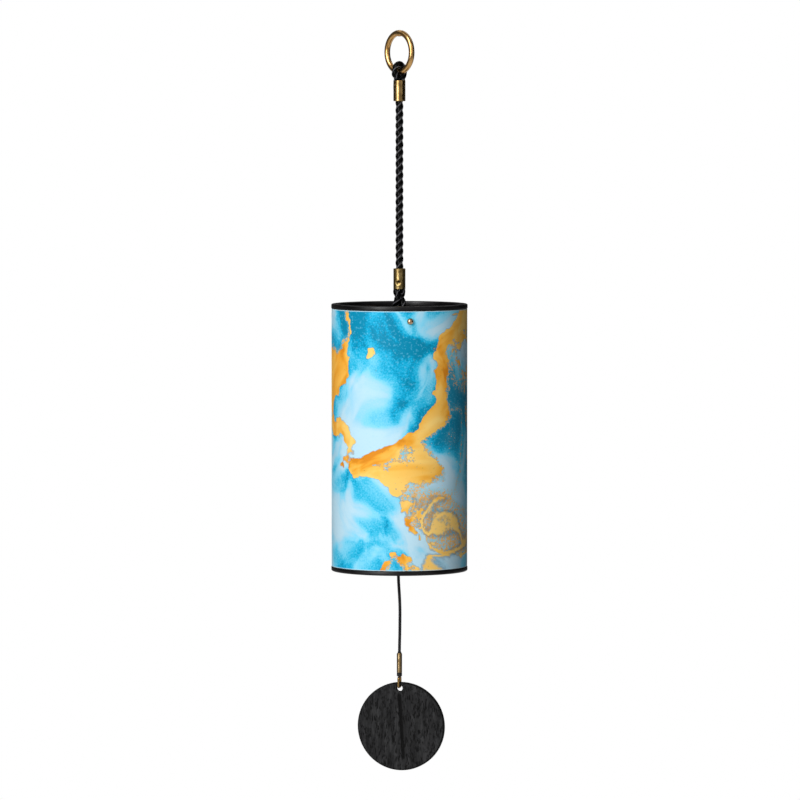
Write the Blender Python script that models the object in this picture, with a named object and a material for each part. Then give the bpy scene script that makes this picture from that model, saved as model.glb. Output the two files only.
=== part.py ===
"""A tube wind chime on a brass ring, in metres with +Z up.

The origin is the point inside the top of the hanging ring where a hook bears, and everything
else hangs below it on one vertical line. A rope with an eye and a crimped ferrule at each end
carries a cross pin, and the pin carries the tube. Eight tuned rods stand on a plate in the
foot of the tube, a round clapper hangs among them, and its cord goes on through the foot to
the wind sail below.
"""
import math
from collections import namedtuple

import bmesh
import bpy
from mathutils import Vector

# Clearances
SEAT_GAP = 0.0003             # between two pieces that touch on the real chime
SLIP_GAP = 0.0002             # round a rod, a pin or a screw in its hole
CORD_BEND_GAP = 0.00055       # between two stretches of the sail cord that bend past each other

# Hanging ring
RING_OUTER_DIAMETER = 0.0205
RING_WIRE_DIAMETER = 0.0025
RING_YAW = math.radians(-60)  # the way the ring's plane is turned from +X

# Suspension rope with its two eyes and ferrules
ROPE_DIAMETER = 0.0033
EYE_ROPE_DIAMETER = 0.0027    # the rope is pressed thinner where it is doubled back
ROPE_RUN = 0.0759             # free rope between the two ferrules
UPPER_EYE_THROAT = 0.0009     # from the bottom of the loop's circle to the ferrule
LOWER_EYE_THROAT = 0.0108
EYE_INSERT = 0.0020           # how far the eye's two ends reach into their ferrule
EYE_LOOP_ANGLES = (52, 14, -24)  # of the loop's knots on one side, in degrees above level
EYE_SPREAD = 1.06             # how much wider than side by side the ropes leave the loop
ROPE_TOP_INSERT = 0.00025     # the rope swings about this mouth, so it starts right inside it
ROPE_FOOT_INSERT = 0.0030
FERRULE_OUTER_DIAMETER = 0.00545
FERRULE_WALL = 0.000675
FERRULE_LENGTH = 0.0095
DIMPLE_DEPTH = 0.00035
DIMPLE_RADIUS = 0.0009
DIMPLE_ABOVE_END = 0.0029
PUNCH_SEGMENTS = 10
PUNCH_RINGS = 6
UPPER_DIMPLE_YAW = math.radians(-160)
LOWER_DIMPLE_YAW = math.radians(-110)

# Resonator tube, its printed sheet and its two edge trims
TUBE_HEIGHT = 0.1215          # over both trims
TUBE_BORE = 0.0564
TUBE_WALL = 0.0018
WRAP_THICKNESS = 0.00055
TRIM_WALL = 0.0007
TRIM_COVER = 0.0019           # height of the trim outside the tube
TRIM_LIP = 0.0026             # height of the trim inside the tube
TRIM_ROUNDING = 0.0005

# Cross pin
PIN_DIAMETER = 0.0016
PIN_NECK_DIAMETER = 0.0010
PIN_BALL_DIAMETER = 0.0025
PIN_BALL_FLAT = 0.00045       # from the ball's centre to its flat seat
PIN_BELOW_RIM = 0.0067

# Foot of the tube with its sounding plate
BASE_THICKNESS = 0.0050
BASE_CHAMFER = 0.0004
CORD_HOLE_DIAMETER = 0.0190
PLATE_EDGE_GAP = 0.0032       # from the plate's edge to the tube's bore
PLATE_THICKNESS = 0.0020
PLATE_CHAMFER = 0.0002
SCREW_COUNT = 3
SCREW_TO_CORD_HOLE = 0.0050   # from the hole's edge to the middle of a screw
SCREW_SHANK_DIAMETER = 0.0016
SCREW_HEAD_DIAMETER = 0.0038
SCREW_HEAD_HEIGHT = 0.0012
SCREW_HEAD_RIM = 0.0005       # height of the head's straight edge, under its crown
SCREW_POINT_RADIUS = 0.0004
SCREW_GRIP = 0.0032           # length of the screw inside the base disc

# Tuned rods, with their notes as frequencies over that of the lowest one
ROD_DIAMETER = 0.0025
ROD_TIP_CHAMFER = 0.0003
ROD_TO_PLATE_EDGE = 0.0045    # from the middle of a rod to the plate's edge
LONGEST_ROD = 0.0840
ROD_NOTES = (1.0, 5 / 3, 9 / 8, 15 / 8, 5 / 4, 2.0, 4 / 3, 3 / 2)
BOSS_FOOT_WIDTH = 0.0010      # width of the brazed boss round a rod, at the plate
BOSS_TOP_WIDTH = 0.0004
BOSS_HEIGHT = 0.0011

# Clapper with its bridle and cord
CORD_DIAMETER = 0.0012
BRIDLE_SIDE_GAP = 0.00045     # between the rope eye and the bridle's turns on the pin
BRIDLE_TURN_PITCH = 0.0016
BRIDLE_TURN_ANGLE = math.radians(320)
BRIDLE_DROP = 0.0118          # from the pin to the centre of the bridle's lower bend
BRIDLE_BEND_RADIUS = 0.0018
BRIDLE_TURN_KNOTS = 8
BRIDLE_LEG_KNOTS = (0.35, 0.72)  # on each leg, as shares of the way up
CRIMP_OUTER_DIAMETER = 0.0030
CRIMP_WALL = 0.00035
CRIMP_LENGTH = 0.0040
CORD_EYE_THROAT = 0.0025
CORD_EYE_INSERT = 0.0012
CORD_TOP_INSERT = 0.0019
CLAPPER_DROP = 0.0578         # from the pin to the middle of the clapper
CLAPPER_TO_RODS = 0.00375     # from the clapper's edge to each rod, at rest
CLAPPER_THICKNESS = 0.0045
CLAPPER_ROUNDING = 0.0014
BEAD_DIAMETER = 0.0032
BEAD_LENGTH = 0.0030

# Sail with its cord, ferrule and link
SAIL_YAW = math.radians(-21.4)        # the way the sail's face is turned from -Y
SAIL_CORD_BEND_BELOW_BASE = 0.0015
SAIL_FERRULE_BELOW_TUBE = 0.0379
SAIL_FERRULE_OUTER_DIAMETER = 0.0024
SAIL_FERRULE_WALL = 0.0003
SAIL_FERRULE_LENGTH = 0.0096
SAIL_CORD_INSERT = 0.0030
COLLAR_HEIGHT = 0.0007
COLLAR_WALL = 0.0004
LINK_WIRE_DIAMETER = 0.0009
LINK_SHANK_INSERT = 0.0020
LINK_TO_SAIL_FACE = 0.0004    # from each leg of the link to the sail's face
LINK_CORNER_RADIUS = 0.0010
LINK_ROOM_ABOVE_SAIL = 0.0027 # from the sail's edge up to the collar
SAIL_DIAMETER = 0.0403
SAIL_THICKNESS = 0.0026
SAIL_EDGE_ROUNDING = 0.0004
SAIL_HOLE_DIAMETER = 0.0028
SAIL_HOLE_EDGE = 0.0014       # wood between the hole and the sail's edge

# Fineness of the round forms
LARGE_SEGMENTS = 64
MEDIUM_SEGMENTS = 40
SLEEVE_SEGMENTS = 20
SMALL_SEGMENTS = 12
WIRE_SEGMENTS = 12
CORD_POINT_SPACING = 2.5      # in cord diameters
BEND_POINT_SPACING = 0.45     # in cord diameters, where the route is tightly curved
EDGE_SHARE_OF_WALL = 0.3      # rounding of a sleeve's ends
ROUNDING_STEPS = 2            # in a quarter turn of a rounded edge
BALL_STEPS = 6

# Levels, from the top down
ring_centre_z = -(RING_OUTER_DIAMETER / 2 - RING_WIRE_DIAMETER)
ring_foot_z = ring_centre_z - (RING_OUTER_DIAMETER - RING_WIRE_DIAMETER) / 2
upper_loop_radius = RING_WIRE_DIAMETER / 2 + SEAT_GAP + EYE_ROPE_DIAMETER / 2
upper_ferrule_top_z = ring_foot_z - upper_loop_radius - UPPER_EYE_THROAT
upper_ferrule_foot_z = upper_ferrule_top_z - FERRULE_LENGTH
lower_ferrule_top_z = upper_ferrule_foot_z - ROPE_RUN
lower_ferrule_foot_z = lower_ferrule_top_z - FERRULE_LENGTH
lower_loop_radius = PIN_DIAMETER / 2 + SEAT_GAP + EYE_ROPE_DIAMETER / 2
pin_z = lower_ferrule_foot_z - LOWER_EYE_THROAT - lower_loop_radius
tube_top_z = pin_z + PIN_BELOW_RIM
tube_foot_z = tube_top_z - TUBE_HEIGHT
base_foot_z = tube_foot_z + TRIM_LIP + SEAT_GAP
base_top_z = base_foot_z + BASE_THICKNESS
plate_foot_z = base_top_z + SEAT_GAP
plate_top_z = plate_foot_z + PLATE_THICKNESS
bridle_bend_z = pin_z - BRIDLE_DROP
bridle_foot_z = bridle_bend_z - BRIDLE_BEND_RADIUS
cord_loop_radius = CORD_DIAMETER + SEAT_GAP
crimp_top_z = bridle_foot_z - cord_loop_radius - CORD_EYE_THROAT
crimp_foot_z = crimp_top_z - CRIMP_LENGTH
clapper_z = pin_z - CLAPPER_DROP
bead_top_z = clapper_z - CLAPPER_THICKNESS / 2 - SEAT_GAP
cord_joint_z = bead_top_z - BEAD_LENGTH / 2
sail_bend_z = base_foot_z - SAIL_CORD_BEND_BELOW_BASE
sail_ferrule_top_z = tube_foot_z - SAIL_FERRULE_BELOW_TUBE
sail_ferrule_foot_z = sail_ferrule_top_z - SAIL_FERRULE_LENGTH
collar_top_z = sail_ferrule_foot_z - SEAT_GAP
collar_foot_z = collar_top_z - COLLAR_HEIGHT
sail_top_z = collar_foot_z - LINK_ROOM_ABOVE_SAIL
sail_centre_z = sail_top_z - SAIL_DIAMETER / 2
link_foot_z = sail_top_z - SAIL_HOLE_EDGE - SEAT_GAP - LINK_WIRE_DIAMETER / 2

# Radii that follow from the sizes above
tube_outer_radius = TUBE_BORE / 2 + TUBE_WALL
wrap_inner_radius = tube_outer_radius + SEAT_GAP
wrap_outer_radius = wrap_inner_radius + WRAP_THICKNESS
trim_end_gap = TRIM_WALL + SEAT_GAP
pin_seat = wrap_outer_radius + SEAT_GAP
cord_bore_radius = CORD_DIAMETER / 2 + SEAT_GAP
plate_radius = TUBE_BORE / 2 - PLATE_EDGE_GAP
rod_circle_radius = plate_radius - ROD_TO_PLATE_EDGE
screw_circle_radius = CORD_HOLE_DIAMETER / 2 + SCREW_TO_CORD_HOLE
clapper_radius = rod_circle_radius - ROD_DIAMETER / 2 - CLAPPER_TO_RODS
rod_hole_radius = ROD_DIAMETER / 2 + SLIP_GAP

Finish = namedtuple("Finish", "colour roughness metallic")
AGED_BRASS = Finish((0.48, 0.31, 0.11), 0.28, 1.0)
POLISHED_BRASS = Finish((0.72, 0.52, 0.22), 0.22, 1.0)
BRIGHT_STEEL = Finish((0.62, 0.62, 0.60), 0.20, 1.0)
BLACK_ROPE = Finish((0.012, 0.012, 0.013), 0.55, 0.0)
BLACK_TRIM = Finish((0.015, 0.014, 0.015), 0.38, 0.0)
BLACK_TUBE = Finish((0.02, 0.02, 0.02), 0.70, 0.0)
MARBLED_SHEET = Finish((0.22, 0.60, 0.82), 0.42, 0.0)
BLACK_WOOD = Finish((0.03, 0.03, 0.031), 0.62, 0.0)
PALE_WOOD = Finish((0.55, 0.38, 0.22), 0.60, 0.0)


def clear_scene():
    """Remove whatever the file opened with."""
    for item in list(bpy.data.objects):
        bpy.data.objects.remove(item, do_unlink=True)


def dress(piece, finish):
    """Give a piece a material of its own with this finish."""
    material = bpy.data.materials.new(piece.name)
    material.use_nodes = True
    shader = material.node_tree.nodes["Principled BSDF"]
    shader.inputs["Base Color"].default_value = (*finish.colour, 1.0)
    shader.inputs["Roughness"].default_value = finish.roughness
    shader.inputs["Metallic"].default_value = finish.metallic
    material.diffuse_color = (*finish.colour, 1.0)
    piece.data.materials.append(material)


def world_position(holder):
    """Add up the places of an empty and of those that carry it."""
    position = Vector()
    while holder:
        position += holder.location
        holder = holder.parent
    return position


def body_axis(name, position, carrier=None):
    """Add the empty that stands on a joint's axis and carries one moving body."""
    axis = bpy.data.objects.new(name, None)
    axis.empty_display_size = 0.01
    bpy.context.collection.objects.link(axis)
    axis.parent = carrier
    axis.location = Vector(position) - world_position(carrier)
    return axis


def place(piece, finish, position, body=None):
    """Put a piece into the scene at a place in the chime's own frame, on the body that carries it."""
    bpy.context.collection.objects.link(piece)
    piece.parent = body
    piece.location = Vector(position) - world_position(body)
    if finish:
        dress(piece, finish)
    return piece


def mesh_piece(name, solid, smooth_below=math.radians(40)):
    """Make an object of a finished mesh, smooth but for its edges."""
    bmesh.ops.recalc_face_normals(solid, faces=solid.faces)
    mesh = bpy.data.meshes.new(name)
    solid.to_mesh(mesh)
    solid.free()
    mesh.shade_smooth()
    mesh.set_sharp_from_angle(angle=smooth_below)
    return bpy.data.objects.new(name, mesh)


def turned(outline, segments):
    """Turn an outline of (radius, height) points once about Z.

    An outline that starts and ends on the axis is left open there, and any other is closed.
    """
    solid = bmesh.new()
    corners = [solid.verts.new((radius, 0.0, height)) for radius, height in outline]
    pairs = list(zip(corners, corners[1:]))
    if outline[0][0] > 0.0:
        pairs.append((corners[-1], corners[0]))
    edges = [solid.edges.new(pair) for pair in pairs]
    bmesh.ops.spin(
        solid, geom=corners + edges, cent=(0, 0, 0), axis=(0, 0, 1), angle=math.tau, steps=segments
    )
    bmesh.ops.remove_doubles(solid, verts=solid.verts, dist=1e-7)
    return solid


def arc(centre, radius, start, end, steps):
    """Points on an arc in an outline, with angles in degrees from the radial direction."""
    angles = [math.radians(start + (end - start) * i / steps) for i in range(steps + 1)]
    return [(centre[0] + radius * math.cos(a), centre[1] + radius * math.sin(a)) for a in angles]


def sleeve_outline(outer_radius, bore_radius, length):
    """A tube from z = 0 down, with its ends rounded outside and eased inside."""
    edge = (outer_radius - bore_radius) * EDGE_SHARE_OF_WALL
    top_half = [(bore_radius, -edge), (bore_radius + edge, 0.0)]
    top_half += arc((outer_radius - edge, -edge), edge, 90, 0, ROUNDING_STEPS)
    return top_half + [(radius, -length - height) for radius, height in reversed(top_half)]


def cutter(name, solid, position, body=None):
    """Place a tool that other pieces are cut with."""
    tool = place(mesh_piece(name, solid), None, position, body)
    tool.hide_render = True
    tool.display_type = "WIRE"
    return tool


def combine(piece, tool, operation="DIFFERENCE"):
    """Cut a piece with a tool, or join the tool's shape to it."""
    change = piece.modifiers.new(tool.name, "BOOLEAN")
    change.operation = operation
    change.solver = "EXACT"
    change.object = tool


def drill(radius, low, high, segments=SMALL_SEGMENTS):
    """A plain cylinder along Z between two heights."""
    return turned([(0.0, low), (radius, low), (radius, high), (0.0, high)], segments)


def around(count, circle_radius, start_angle):
    """Places spread evenly on a level circle."""
    for i in range(count):
        angle = start_angle + math.tau * i / count
        yield Vector((math.cos(angle), math.sin(angle), 0.0)) * circle_radius


def copies(solid_maker, places):
    """One mesh that holds a copy of a shape at each place."""
    whole = bmesh.new()
    for spot in places:
        single = solid_maker()
        bmesh.ops.translate(single, verts=single.verts, vec=spot)
        mesh = bpy.data.meshes.new("copy")
        single.to_mesh(mesh)
        single.free()
        whole.from_mesh(mesh)
        bpy.data.meshes.remove(mesh)
    return whole


def smooth_route(knots, spacing):
    """Read points about one spacing apart from the smooth curve through the knots.

    A knot is (x, y, z, thickness), and its thickness is a share of the cord's own.
    """
    knots = [Vector(knot) for knot in knots]
    ends = [2 * knots[0] - knots[1]] + knots + [2 * knots[-1] - knots[-2]]
    route = []
    for before, start, end, after in zip(ends, ends[1:], ends[2:], ends[3:]):
        steps = max(1, round((end.xyz - start.xyz).length / spacing))
        for i in range(steps):
            t = i / steps
            route.append(
                0.5 * (
                    2 * start
                    + (end - before) * t
                    + (2 * before - 5 * start + 4 * end - after) * t ** 2
                    + (3 * start - before - 3 * end + after) * t ** 3
                )
            )
    return route + [knots[-1]]


def cord_piece(name, route, diameter):
    """A round cord or wire along a route, closed at both ends."""
    curve = bpy.data.curves.new(name, "CURVE")
    curve.dimensions = "3D"
    curve.bevel_depth = diameter / 2
    curve.bevel_resolution = 2
    curve.use_fill_caps = True
    spline = curve.splines.new("POLY")
    spline.points.add(len(route) - 1)
    for point, knot in zip(spline.points, route):
        point.co = (*knot.xyz, 1.0)
        point.radius = knot.w
    spline.use_smooth = True
    return bpy.data.objects.new(name, curve)


def straight_cord(name, top, foot, diameter):
    """A cord that hangs straight down, with its origin at its upper end."""
    knots = [(0.0, 0.0, 0.0, 1.0), (0.0, 0.0, foot - top, 1.0)]
    return cord_piece(name, smooth_route(knots, CORD_POINT_SPACING * diameter), diameter)


def eye_knots(across, loop_radius, throat, insert, cord_diameter, bore_radius):
    """Knots of an eye: round a bar at the origin and down, side by side, into a ferrule below.

    The two ends are pressed thinner so that both fit the ferrule's bore. In a long throat the
    two ropes lie side by side before they are pressed.
    """
    leg_radius = (bore_radius - SEAT_GAP - SEAT_GAP / 2) / 2
    leg_offset = leg_radius + SEAT_GAP / 2
    share = 2 * leg_radius / cord_diameter
    mouth = loop_radius + throat
    half = []
    for angle in EYE_LOOP_ANGLES:
        turn = math.radians(angle)
        half.append((loop_radius * math.cos(turn), loop_radius * math.sin(turn), 1.0))
    if throat > 2 * loop_radius:
        side_by_side = cord_diameter / 2 + SEAT_GAP / 2
        half.append((side_by_side * EYE_SPREAD, -2 * loop_radius, 1.0))
        half.append((side_by_side, -mouth + cord_diameter, 1.0))
    half.append((leg_offset, -mouth, share))
    half.append((leg_offset, -mouth - insert, share))
    left = [(-u, v, s) for u, v, s in reversed(half)]
    flat = left + [(0.0, loop_radius, 1.0)] + half
    return [(*(across * u + Vector((0.0, 0.0, v))), s) for u, v, s in flat]


def hanging_ring():
    """The bent wire ring that hangs on a hook."""
    wire_radius = RING_WIRE_DIAMETER / 2
    middle_radius = RING_OUTER_DIAMETER / 2 - wire_radius
    section = arc((middle_radius, 0.0), wire_radius, 0, 360, WIRE_SEGMENTS)[:-1]
    ring = mesh_piece("hanging_ring", turned(section, MEDIUM_SEGMENTS))
    ring.rotation_euler = (math.pi / 2, 0.0, RING_YAW)
    place(ring, AGED_BRASS, (0.0, 0.0, ring_centre_z))


def ferrule(name, top_z, dimple_yaw, dimple_z, body):
    """A brass sleeve crimped on the rope, with the dimple that the crimping punch left."""
    outer_radius = FERRULE_OUTER_DIAMETER / 2
    outline = sleeve_outline(outer_radius, outer_radius - FERRULE_WALL, FERRULE_LENGTH)
    sleeve = mesh_piece(name, turned(outline, SLEEVE_SEGMENTS))
    place(sleeve, AGED_BRASS, (0.0, 0.0, top_z), body)
    ball = bmesh.new()
    bmesh.ops.create_uvsphere(ball, u_segments=PUNCH_SEGMENTS, v_segments=PUNCH_RINGS, radius=DIMPLE_RADIUS)
    outwards = Vector((math.cos(dimple_yaw), math.sin(dimple_yaw), 0.0))
    spot = outwards * (outer_radius + DIMPLE_RADIUS - DIMPLE_DEPTH)
    spot.z = dimple_z
    combine(sleeve, cutter(name + "_punch", ball, spot, body))


def suspension(hanger, rope_axis, lower_hanger):
    """The rope from the ring to the cross pin: an eye, a ferrule, the run, a ferrule, an eye."""
    bore_radius = FERRULE_OUTER_DIAMETER / 2 - FERRULE_WALL
    spacing = BEND_POINT_SPACING * EYE_ROPE_DIAMETER
    square_to_ring = Vector((-math.sin(RING_YAW), math.cos(RING_YAW), 0.0))
    knots = eye_knots(
        square_to_ring, upper_loop_radius, UPPER_EYE_THROAT, EYE_INSERT, EYE_ROPE_DIAMETER, bore_radius
    )
    eye = cord_piece("upper_rope_eye", smooth_route(knots, spacing), EYE_ROPE_DIAMETER)
    place(eye, BLACK_ROPE, (0.0, 0.0, ring_foot_z), hanger)
    dimple_z = upper_ferrule_top_z - DIMPLE_ABOVE_END
    ferrule("upper_ferrule", upper_ferrule_top_z, UPPER_DIMPLE_YAW, dimple_z, hanger)

    rope_top = upper_ferrule_foot_z + ROPE_TOP_INSERT
    rope_foot = lower_ferrule_top_z - ROPE_FOOT_INSERT
    rope = straight_cord("suspension_rope", rope_top, rope_foot, ROPE_DIAMETER)
    place(rope, BLACK_ROPE, (0.0, 0.0, rope_top), rope_axis)

    dimple_z = lower_ferrule_foot_z + DIMPLE_ABOVE_END
    ferrule("lower_ferrule", lower_ferrule_top_z, LOWER_DIMPLE_YAW, dimple_z, lower_hanger)
    across_pin = Vector((1.0, 0.0, 0.0))
    knots = eye_knots(
        across_pin, lower_loop_radius, LOWER_EYE_THROAT, EYE_INSERT, EYE_ROPE_DIAMETER, bore_radius
    )
    upside_down = [(x, y, -z, share) for x, y, z, share in knots]
    eye = cord_piece("lower_rope_eye", smooth_route(upside_down, spacing), EYE_ROPE_DIAMETER)
    place(eye, BLACK_ROPE, (0.0, 0.0, pin_z), lower_hanger)


def trim_outline():
    """Section of an edge trim: a channel that caps the tube's end, measured down from its face."""
    outer = wrap_inner_radius + TRIM_WALL
    lip_outer = TUBE_BORE / 2 - SEAT_GAP
    lip_inner = lip_outer - TRIM_WALL
    r = TRIM_ROUNDING
    outline = [(wrap_inner_radius, -TRIM_COVER), (outer, -TRIM_COVER)]
    outline += arc((outer - r, -r), r, 0, 90, ROUNDING_STEPS)
    outline += arc((lip_inner + r, -r), r, 90, 180, ROUNDING_STEPS)
    outline += [(lip_inner, -TRIM_LIP), (lip_outer, -TRIM_LIP)]
    outline += [(lip_outer, -TRIM_WALL), (wrap_inner_radius, -TRIM_WALL)]
    return outline


def tube_shell(resonator):
    """The tube, the printed sheet round it and the black trim on each end."""
    half_bore = TUBE_BORE / 2
    low = tube_foot_z + trim_end_gap - pin_z
    high = tube_top_z - trim_end_gap - pin_z
    wall = [(half_bore, low), (tube_outer_radius, low), (tube_outer_radius, high), (half_bore, high)]
    tube = mesh_piece("resonator_tube", turned(wall, LARGE_SEGMENTS))
    place(tube, BLACK_TUBE, (0.0, 0.0, pin_z), resonator)

    low = tube_foot_z + TRIM_COVER + SEAT_GAP - pin_z
    high = tube_top_z - TRIM_COVER - SEAT_GAP - pin_z
    sheet = [(wrap_inner_radius, low), (wrap_outer_radius, low)]
    sheet += [(wrap_outer_radius, high), (wrap_inner_radius, high)]
    wrap = mesh_piece("printed_wrap", turned(sheet, LARGE_SEGMENTS))
    place(wrap, MARBLED_SHEET, (0.0, 0.0, pin_z), resonator)

    reach = wrap_outer_radius + PIN_BALL_DIAMETER
    hole = drill(PIN_DIAMETER / 2 + SLIP_GAP, -reach, reach)
    pin_drill = cutter("pin_drill", hole, (0.0, 0.0, pin_z), resonator)
    pin_drill.rotation_euler.x = math.pi / 2
    combine(tube, pin_drill)
    combine(wrap, pin_drill)

    outline = trim_outline()
    top = mesh_piece("top_edge_trim", turned(outline, LARGE_SEGMENTS))
    place(top, BLACK_TRIM, (0.0, 0.0, tube_top_z), resonator)
    upturned = [(radius, -height) for radius, height in outline]
    foot = mesh_piece("bottom_edge_trim", turned(upturned, LARGE_SEGMENTS))
    place(foot, BLACK_TRIM, (0.0, 0.0, tube_foot_z), resonator)


def cross_pin(resonator):
    """The pin through the tube, round-headed in front and capped behind. Its +Z end turns to -Y."""
    ball_radius = PIN_BALL_DIAMETER / 2
    flat_angle = math.degrees(math.asin(PIN_BALL_FLAT / ball_radius))
    ball_centre = pin_seat + PIN_BALL_FLAT
    shaft = PIN_DIAMETER / 2
    neck = PIN_NECK_DIAMETER / 2
    neck_end = ball_centre + ball_radius / 2
    outline = [(0.0, -neck_end), (neck, -neck_end), (neck, -wrap_outer_radius)]
    outline += [(shaft, -wrap_outer_radius), (shaft, pin_seat)]
    outline += arc((0.0, ball_centre), ball_radius, -flat_angle, 90, BALL_STEPS)[:-1]
    outline += [(0.0, ball_centre + ball_radius)]
    pin = mesh_piece("cross_pin", turned(outline, SMALL_SEGMENTS))
    pin.rotation_euler.x = math.pi / 2
    place(pin, AGED_BRASS, (0.0, 0.0, pin_z), resonator)

    socket = neck + SLIP_GAP
    socket_end = neck_end + SLIP_GAP
    outline = [(0.0, -socket_end), (socket, -socket_end), (socket, -pin_seat)]
    outline += arc((0.0, -ball_centre), ball_radius, flat_angle, -90, BALL_STEPS)[:-1]
    outline += [(0.0, -ball_centre - ball_radius)]
    cap = mesh_piece("cross_pin_cap", turned(outline, SMALL_SEGMENTS))
    cap.rotation_euler.x = math.pi / 2
    place(cap, AGED_BRASS, (0.0, 0.0, pin_z), resonator)


def ring_disc_outline(outer_radius, inner_radius, thickness, chamfer):
    """A flat disc with a hole, standing on z = 0, with its outer edges eased."""
    return [
        (inner_radius, 0.0), (outer_radius - chamfer, 0.0), (outer_radius, chamfer),
        (outer_radius, thickness - chamfer), (outer_radius - chamfer, thickness), (inner_radius, thickness)
    ]


def foot_and_plate(resonator):
    """The wooden base disc in the tube's foot, the sounding plate on it, and the plate's screws."""
    base_outline = ring_disc_outline(
        TUBE_BORE / 2 - SEAT_GAP, CORD_HOLE_DIAMETER / 2, BASE_THICKNESS, BASE_CHAMFER
    )
    base = mesh_piece("base_disc", turned(base_outline, LARGE_SEGMENTS))
    place(base, PALE_WOOD, (0.0, 0.0, base_foot_z), resonator)
    plate_outline = ring_disc_outline(
        plate_radius, CORD_HOLE_DIAMETER / 2, PLATE_THICKNESS, PLATE_CHAMFER
    )
    plate = mesh_piece("sounding_plate", turned(plate_outline, MEDIUM_SEGMENTS))
    place(plate, POLISHED_BRASS, (0.0, 0.0, plate_foot_z), resonator)

    rod_places = list(around(len(ROD_NOTES), rod_circle_radius, math.pi / len(ROD_NOTES)))
    boss_foot = rod_hole_radius + BOSS_FOOT_WIDTH
    boss_outline = [
        (0.0, -PLATE_THICKNESS / 2), (boss_foot, -PLATE_THICKNESS / 2), (boss_foot, 0.0),
        (rod_hole_radius + BOSS_TOP_WIDTH, BOSS_HEIGHT), (0.0, BOSS_HEIGHT)
    ]
    bosses = copies(lambda: turned(boss_outline, SMALL_SEGMENTS), rod_places)
    combine(plate, cutter("brazed_bosses", bosses, (0.0, 0.0, plate_top_z), resonator), "UNION")

    screw_places = list(around(SCREW_COUNT, screw_circle_radius, math.pi / 2))
    rod_depth = PLATE_THICKNESS + SEAT_GAP
    rod_holes = copies(lambda: drill(rod_hole_radius, -rod_depth, BOSS_HEIGHT * 2), rod_places)
    combine(plate, cutter("rod_drills", rod_holes, (0.0, 0.0, plate_top_z), resonator))
    screw_length = PLATE_THICKNESS + SEAT_GAP + SCREW_GRIP
    screw_hole_radius = SCREW_SHANK_DIAMETER / 2 + SLIP_GAP
    screw_depth = screw_length + SEAT_GAP
    screw_holes = copies(lambda: drill(screw_hole_radius, -screw_depth, SCREW_HEAD_HEIGHT), screw_places)
    screw_drills = cutter("screw_drills", screw_holes, (0.0, 0.0, plate_top_z), resonator)
    combine(plate, screw_drills)
    combine(base, screw_drills)

    shank = SCREW_SHANK_DIAMETER / 2
    head = SCREW_HEAD_DIAMETER / 2
    crown_foot = SEAT_GAP + SCREW_HEAD_RIM
    crown = SCREW_HEAD_HEIGHT - SCREW_HEAD_RIM
    screw_outline = [
        (0.0, -screw_length), (SCREW_POINT_RADIUS, -screw_length), (shank, -screw_length + shank),
        (shank, SEAT_GAP), (head, SEAT_GAP), (head, crown_foot)
    ]
    screw_outline += [(head * u, crown_foot + crown * v) for u, v in arc((0.0, 0.0), 1.0, 0, 90, 3)[1:-1]]
    screw_outline += [(0.0, crown_foot + crown)]
    for number, spot in enumerate(screw_places, 1):
        screw = mesh_piece(f"plate_screw_{number}", turned(screw_outline, SMALL_SEGMENTS))
        place(screw, BRIGHT_STEEL, (spot.x, spot.y, plate_top_z), resonator)
    return rod_places


def tuned_rods(rod_places, resonator):
    """The rods that sound, each as long as its note asks: pitch falls with the length squared."""
    radius = ROD_DIAMETER / 2
    for number, (spot, note) in enumerate(zip(rod_places, ROD_NOTES), 1):
        length = LONGEST_ROD / math.sqrt(note)
        outline = [(0.0, 0.0), (radius, 0.0), (radius, length - ROD_TIP_CHAMFER)]
        outline += [(radius - ROD_TIP_CHAMFER, length), (0.0, length)]
        rod = mesh_piece(f"tuned_rod_{number}", turned(outline, SMALL_SEGMENTS))
        place(rod, BRIGHT_STEEL, (spot.x, spot.y, plate_foot_z), resonator)


def bridle_knots():
    """The bridle's route: a turn on the pin, down to a bend on the chime's axis, up to a second turn."""
    turn_radius = PIN_DIAMETER / 2 + SEAT_GAP + CORD_DIAMETER / 2
    inner_y = EYE_ROPE_DIAMETER / 2 + BRIDLE_SIDE_GAP + CORD_DIAMETER / 2
    bend = BRIDLE_BEND_RADIUS
    slant = bend * math.sin(math.radians(45))
    half = [(0.0, slant, -BRIDLE_DROP - slant, 1.0), (0.0, bend, -BRIDLE_DROP, 1.0)]
    for share in BRIDLE_LEG_KNOTS:
        along = bend + (inner_y - bend) * share
        half.append((turn_radius * share, along, -BRIDLE_DROP * (1.0 - share), 1.0))
    for i in range(BRIDLE_TURN_KNOTS + 1):
        angle = BRIDLE_TURN_ANGLE * i / BRIDLE_TURN_KNOTS
        along = inner_y + BRIDLE_TURN_PITCH * angle / math.tau
        half.append((turn_radius * math.cos(angle), along, turn_radius * math.sin(angle), 1.0))
    other = [(-x, -y, z, share) for x, y, z, share in reversed(half)]
    return other + [(0.0, 0.0, -BRIDLE_DROP - bend, 1.0)] + half


def sleeve(name, outer_diameter, bore_radius, length, top_z, finish, body):
    """A small round sleeve on a cord."""
    outline = sleeve_outline(outer_diameter / 2, bore_radius, length)
    piece = mesh_piece(name, turned(outline, SMALL_SEGMENTS))
    place(piece, finish, (0.0, 0.0, top_z), body)


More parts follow.
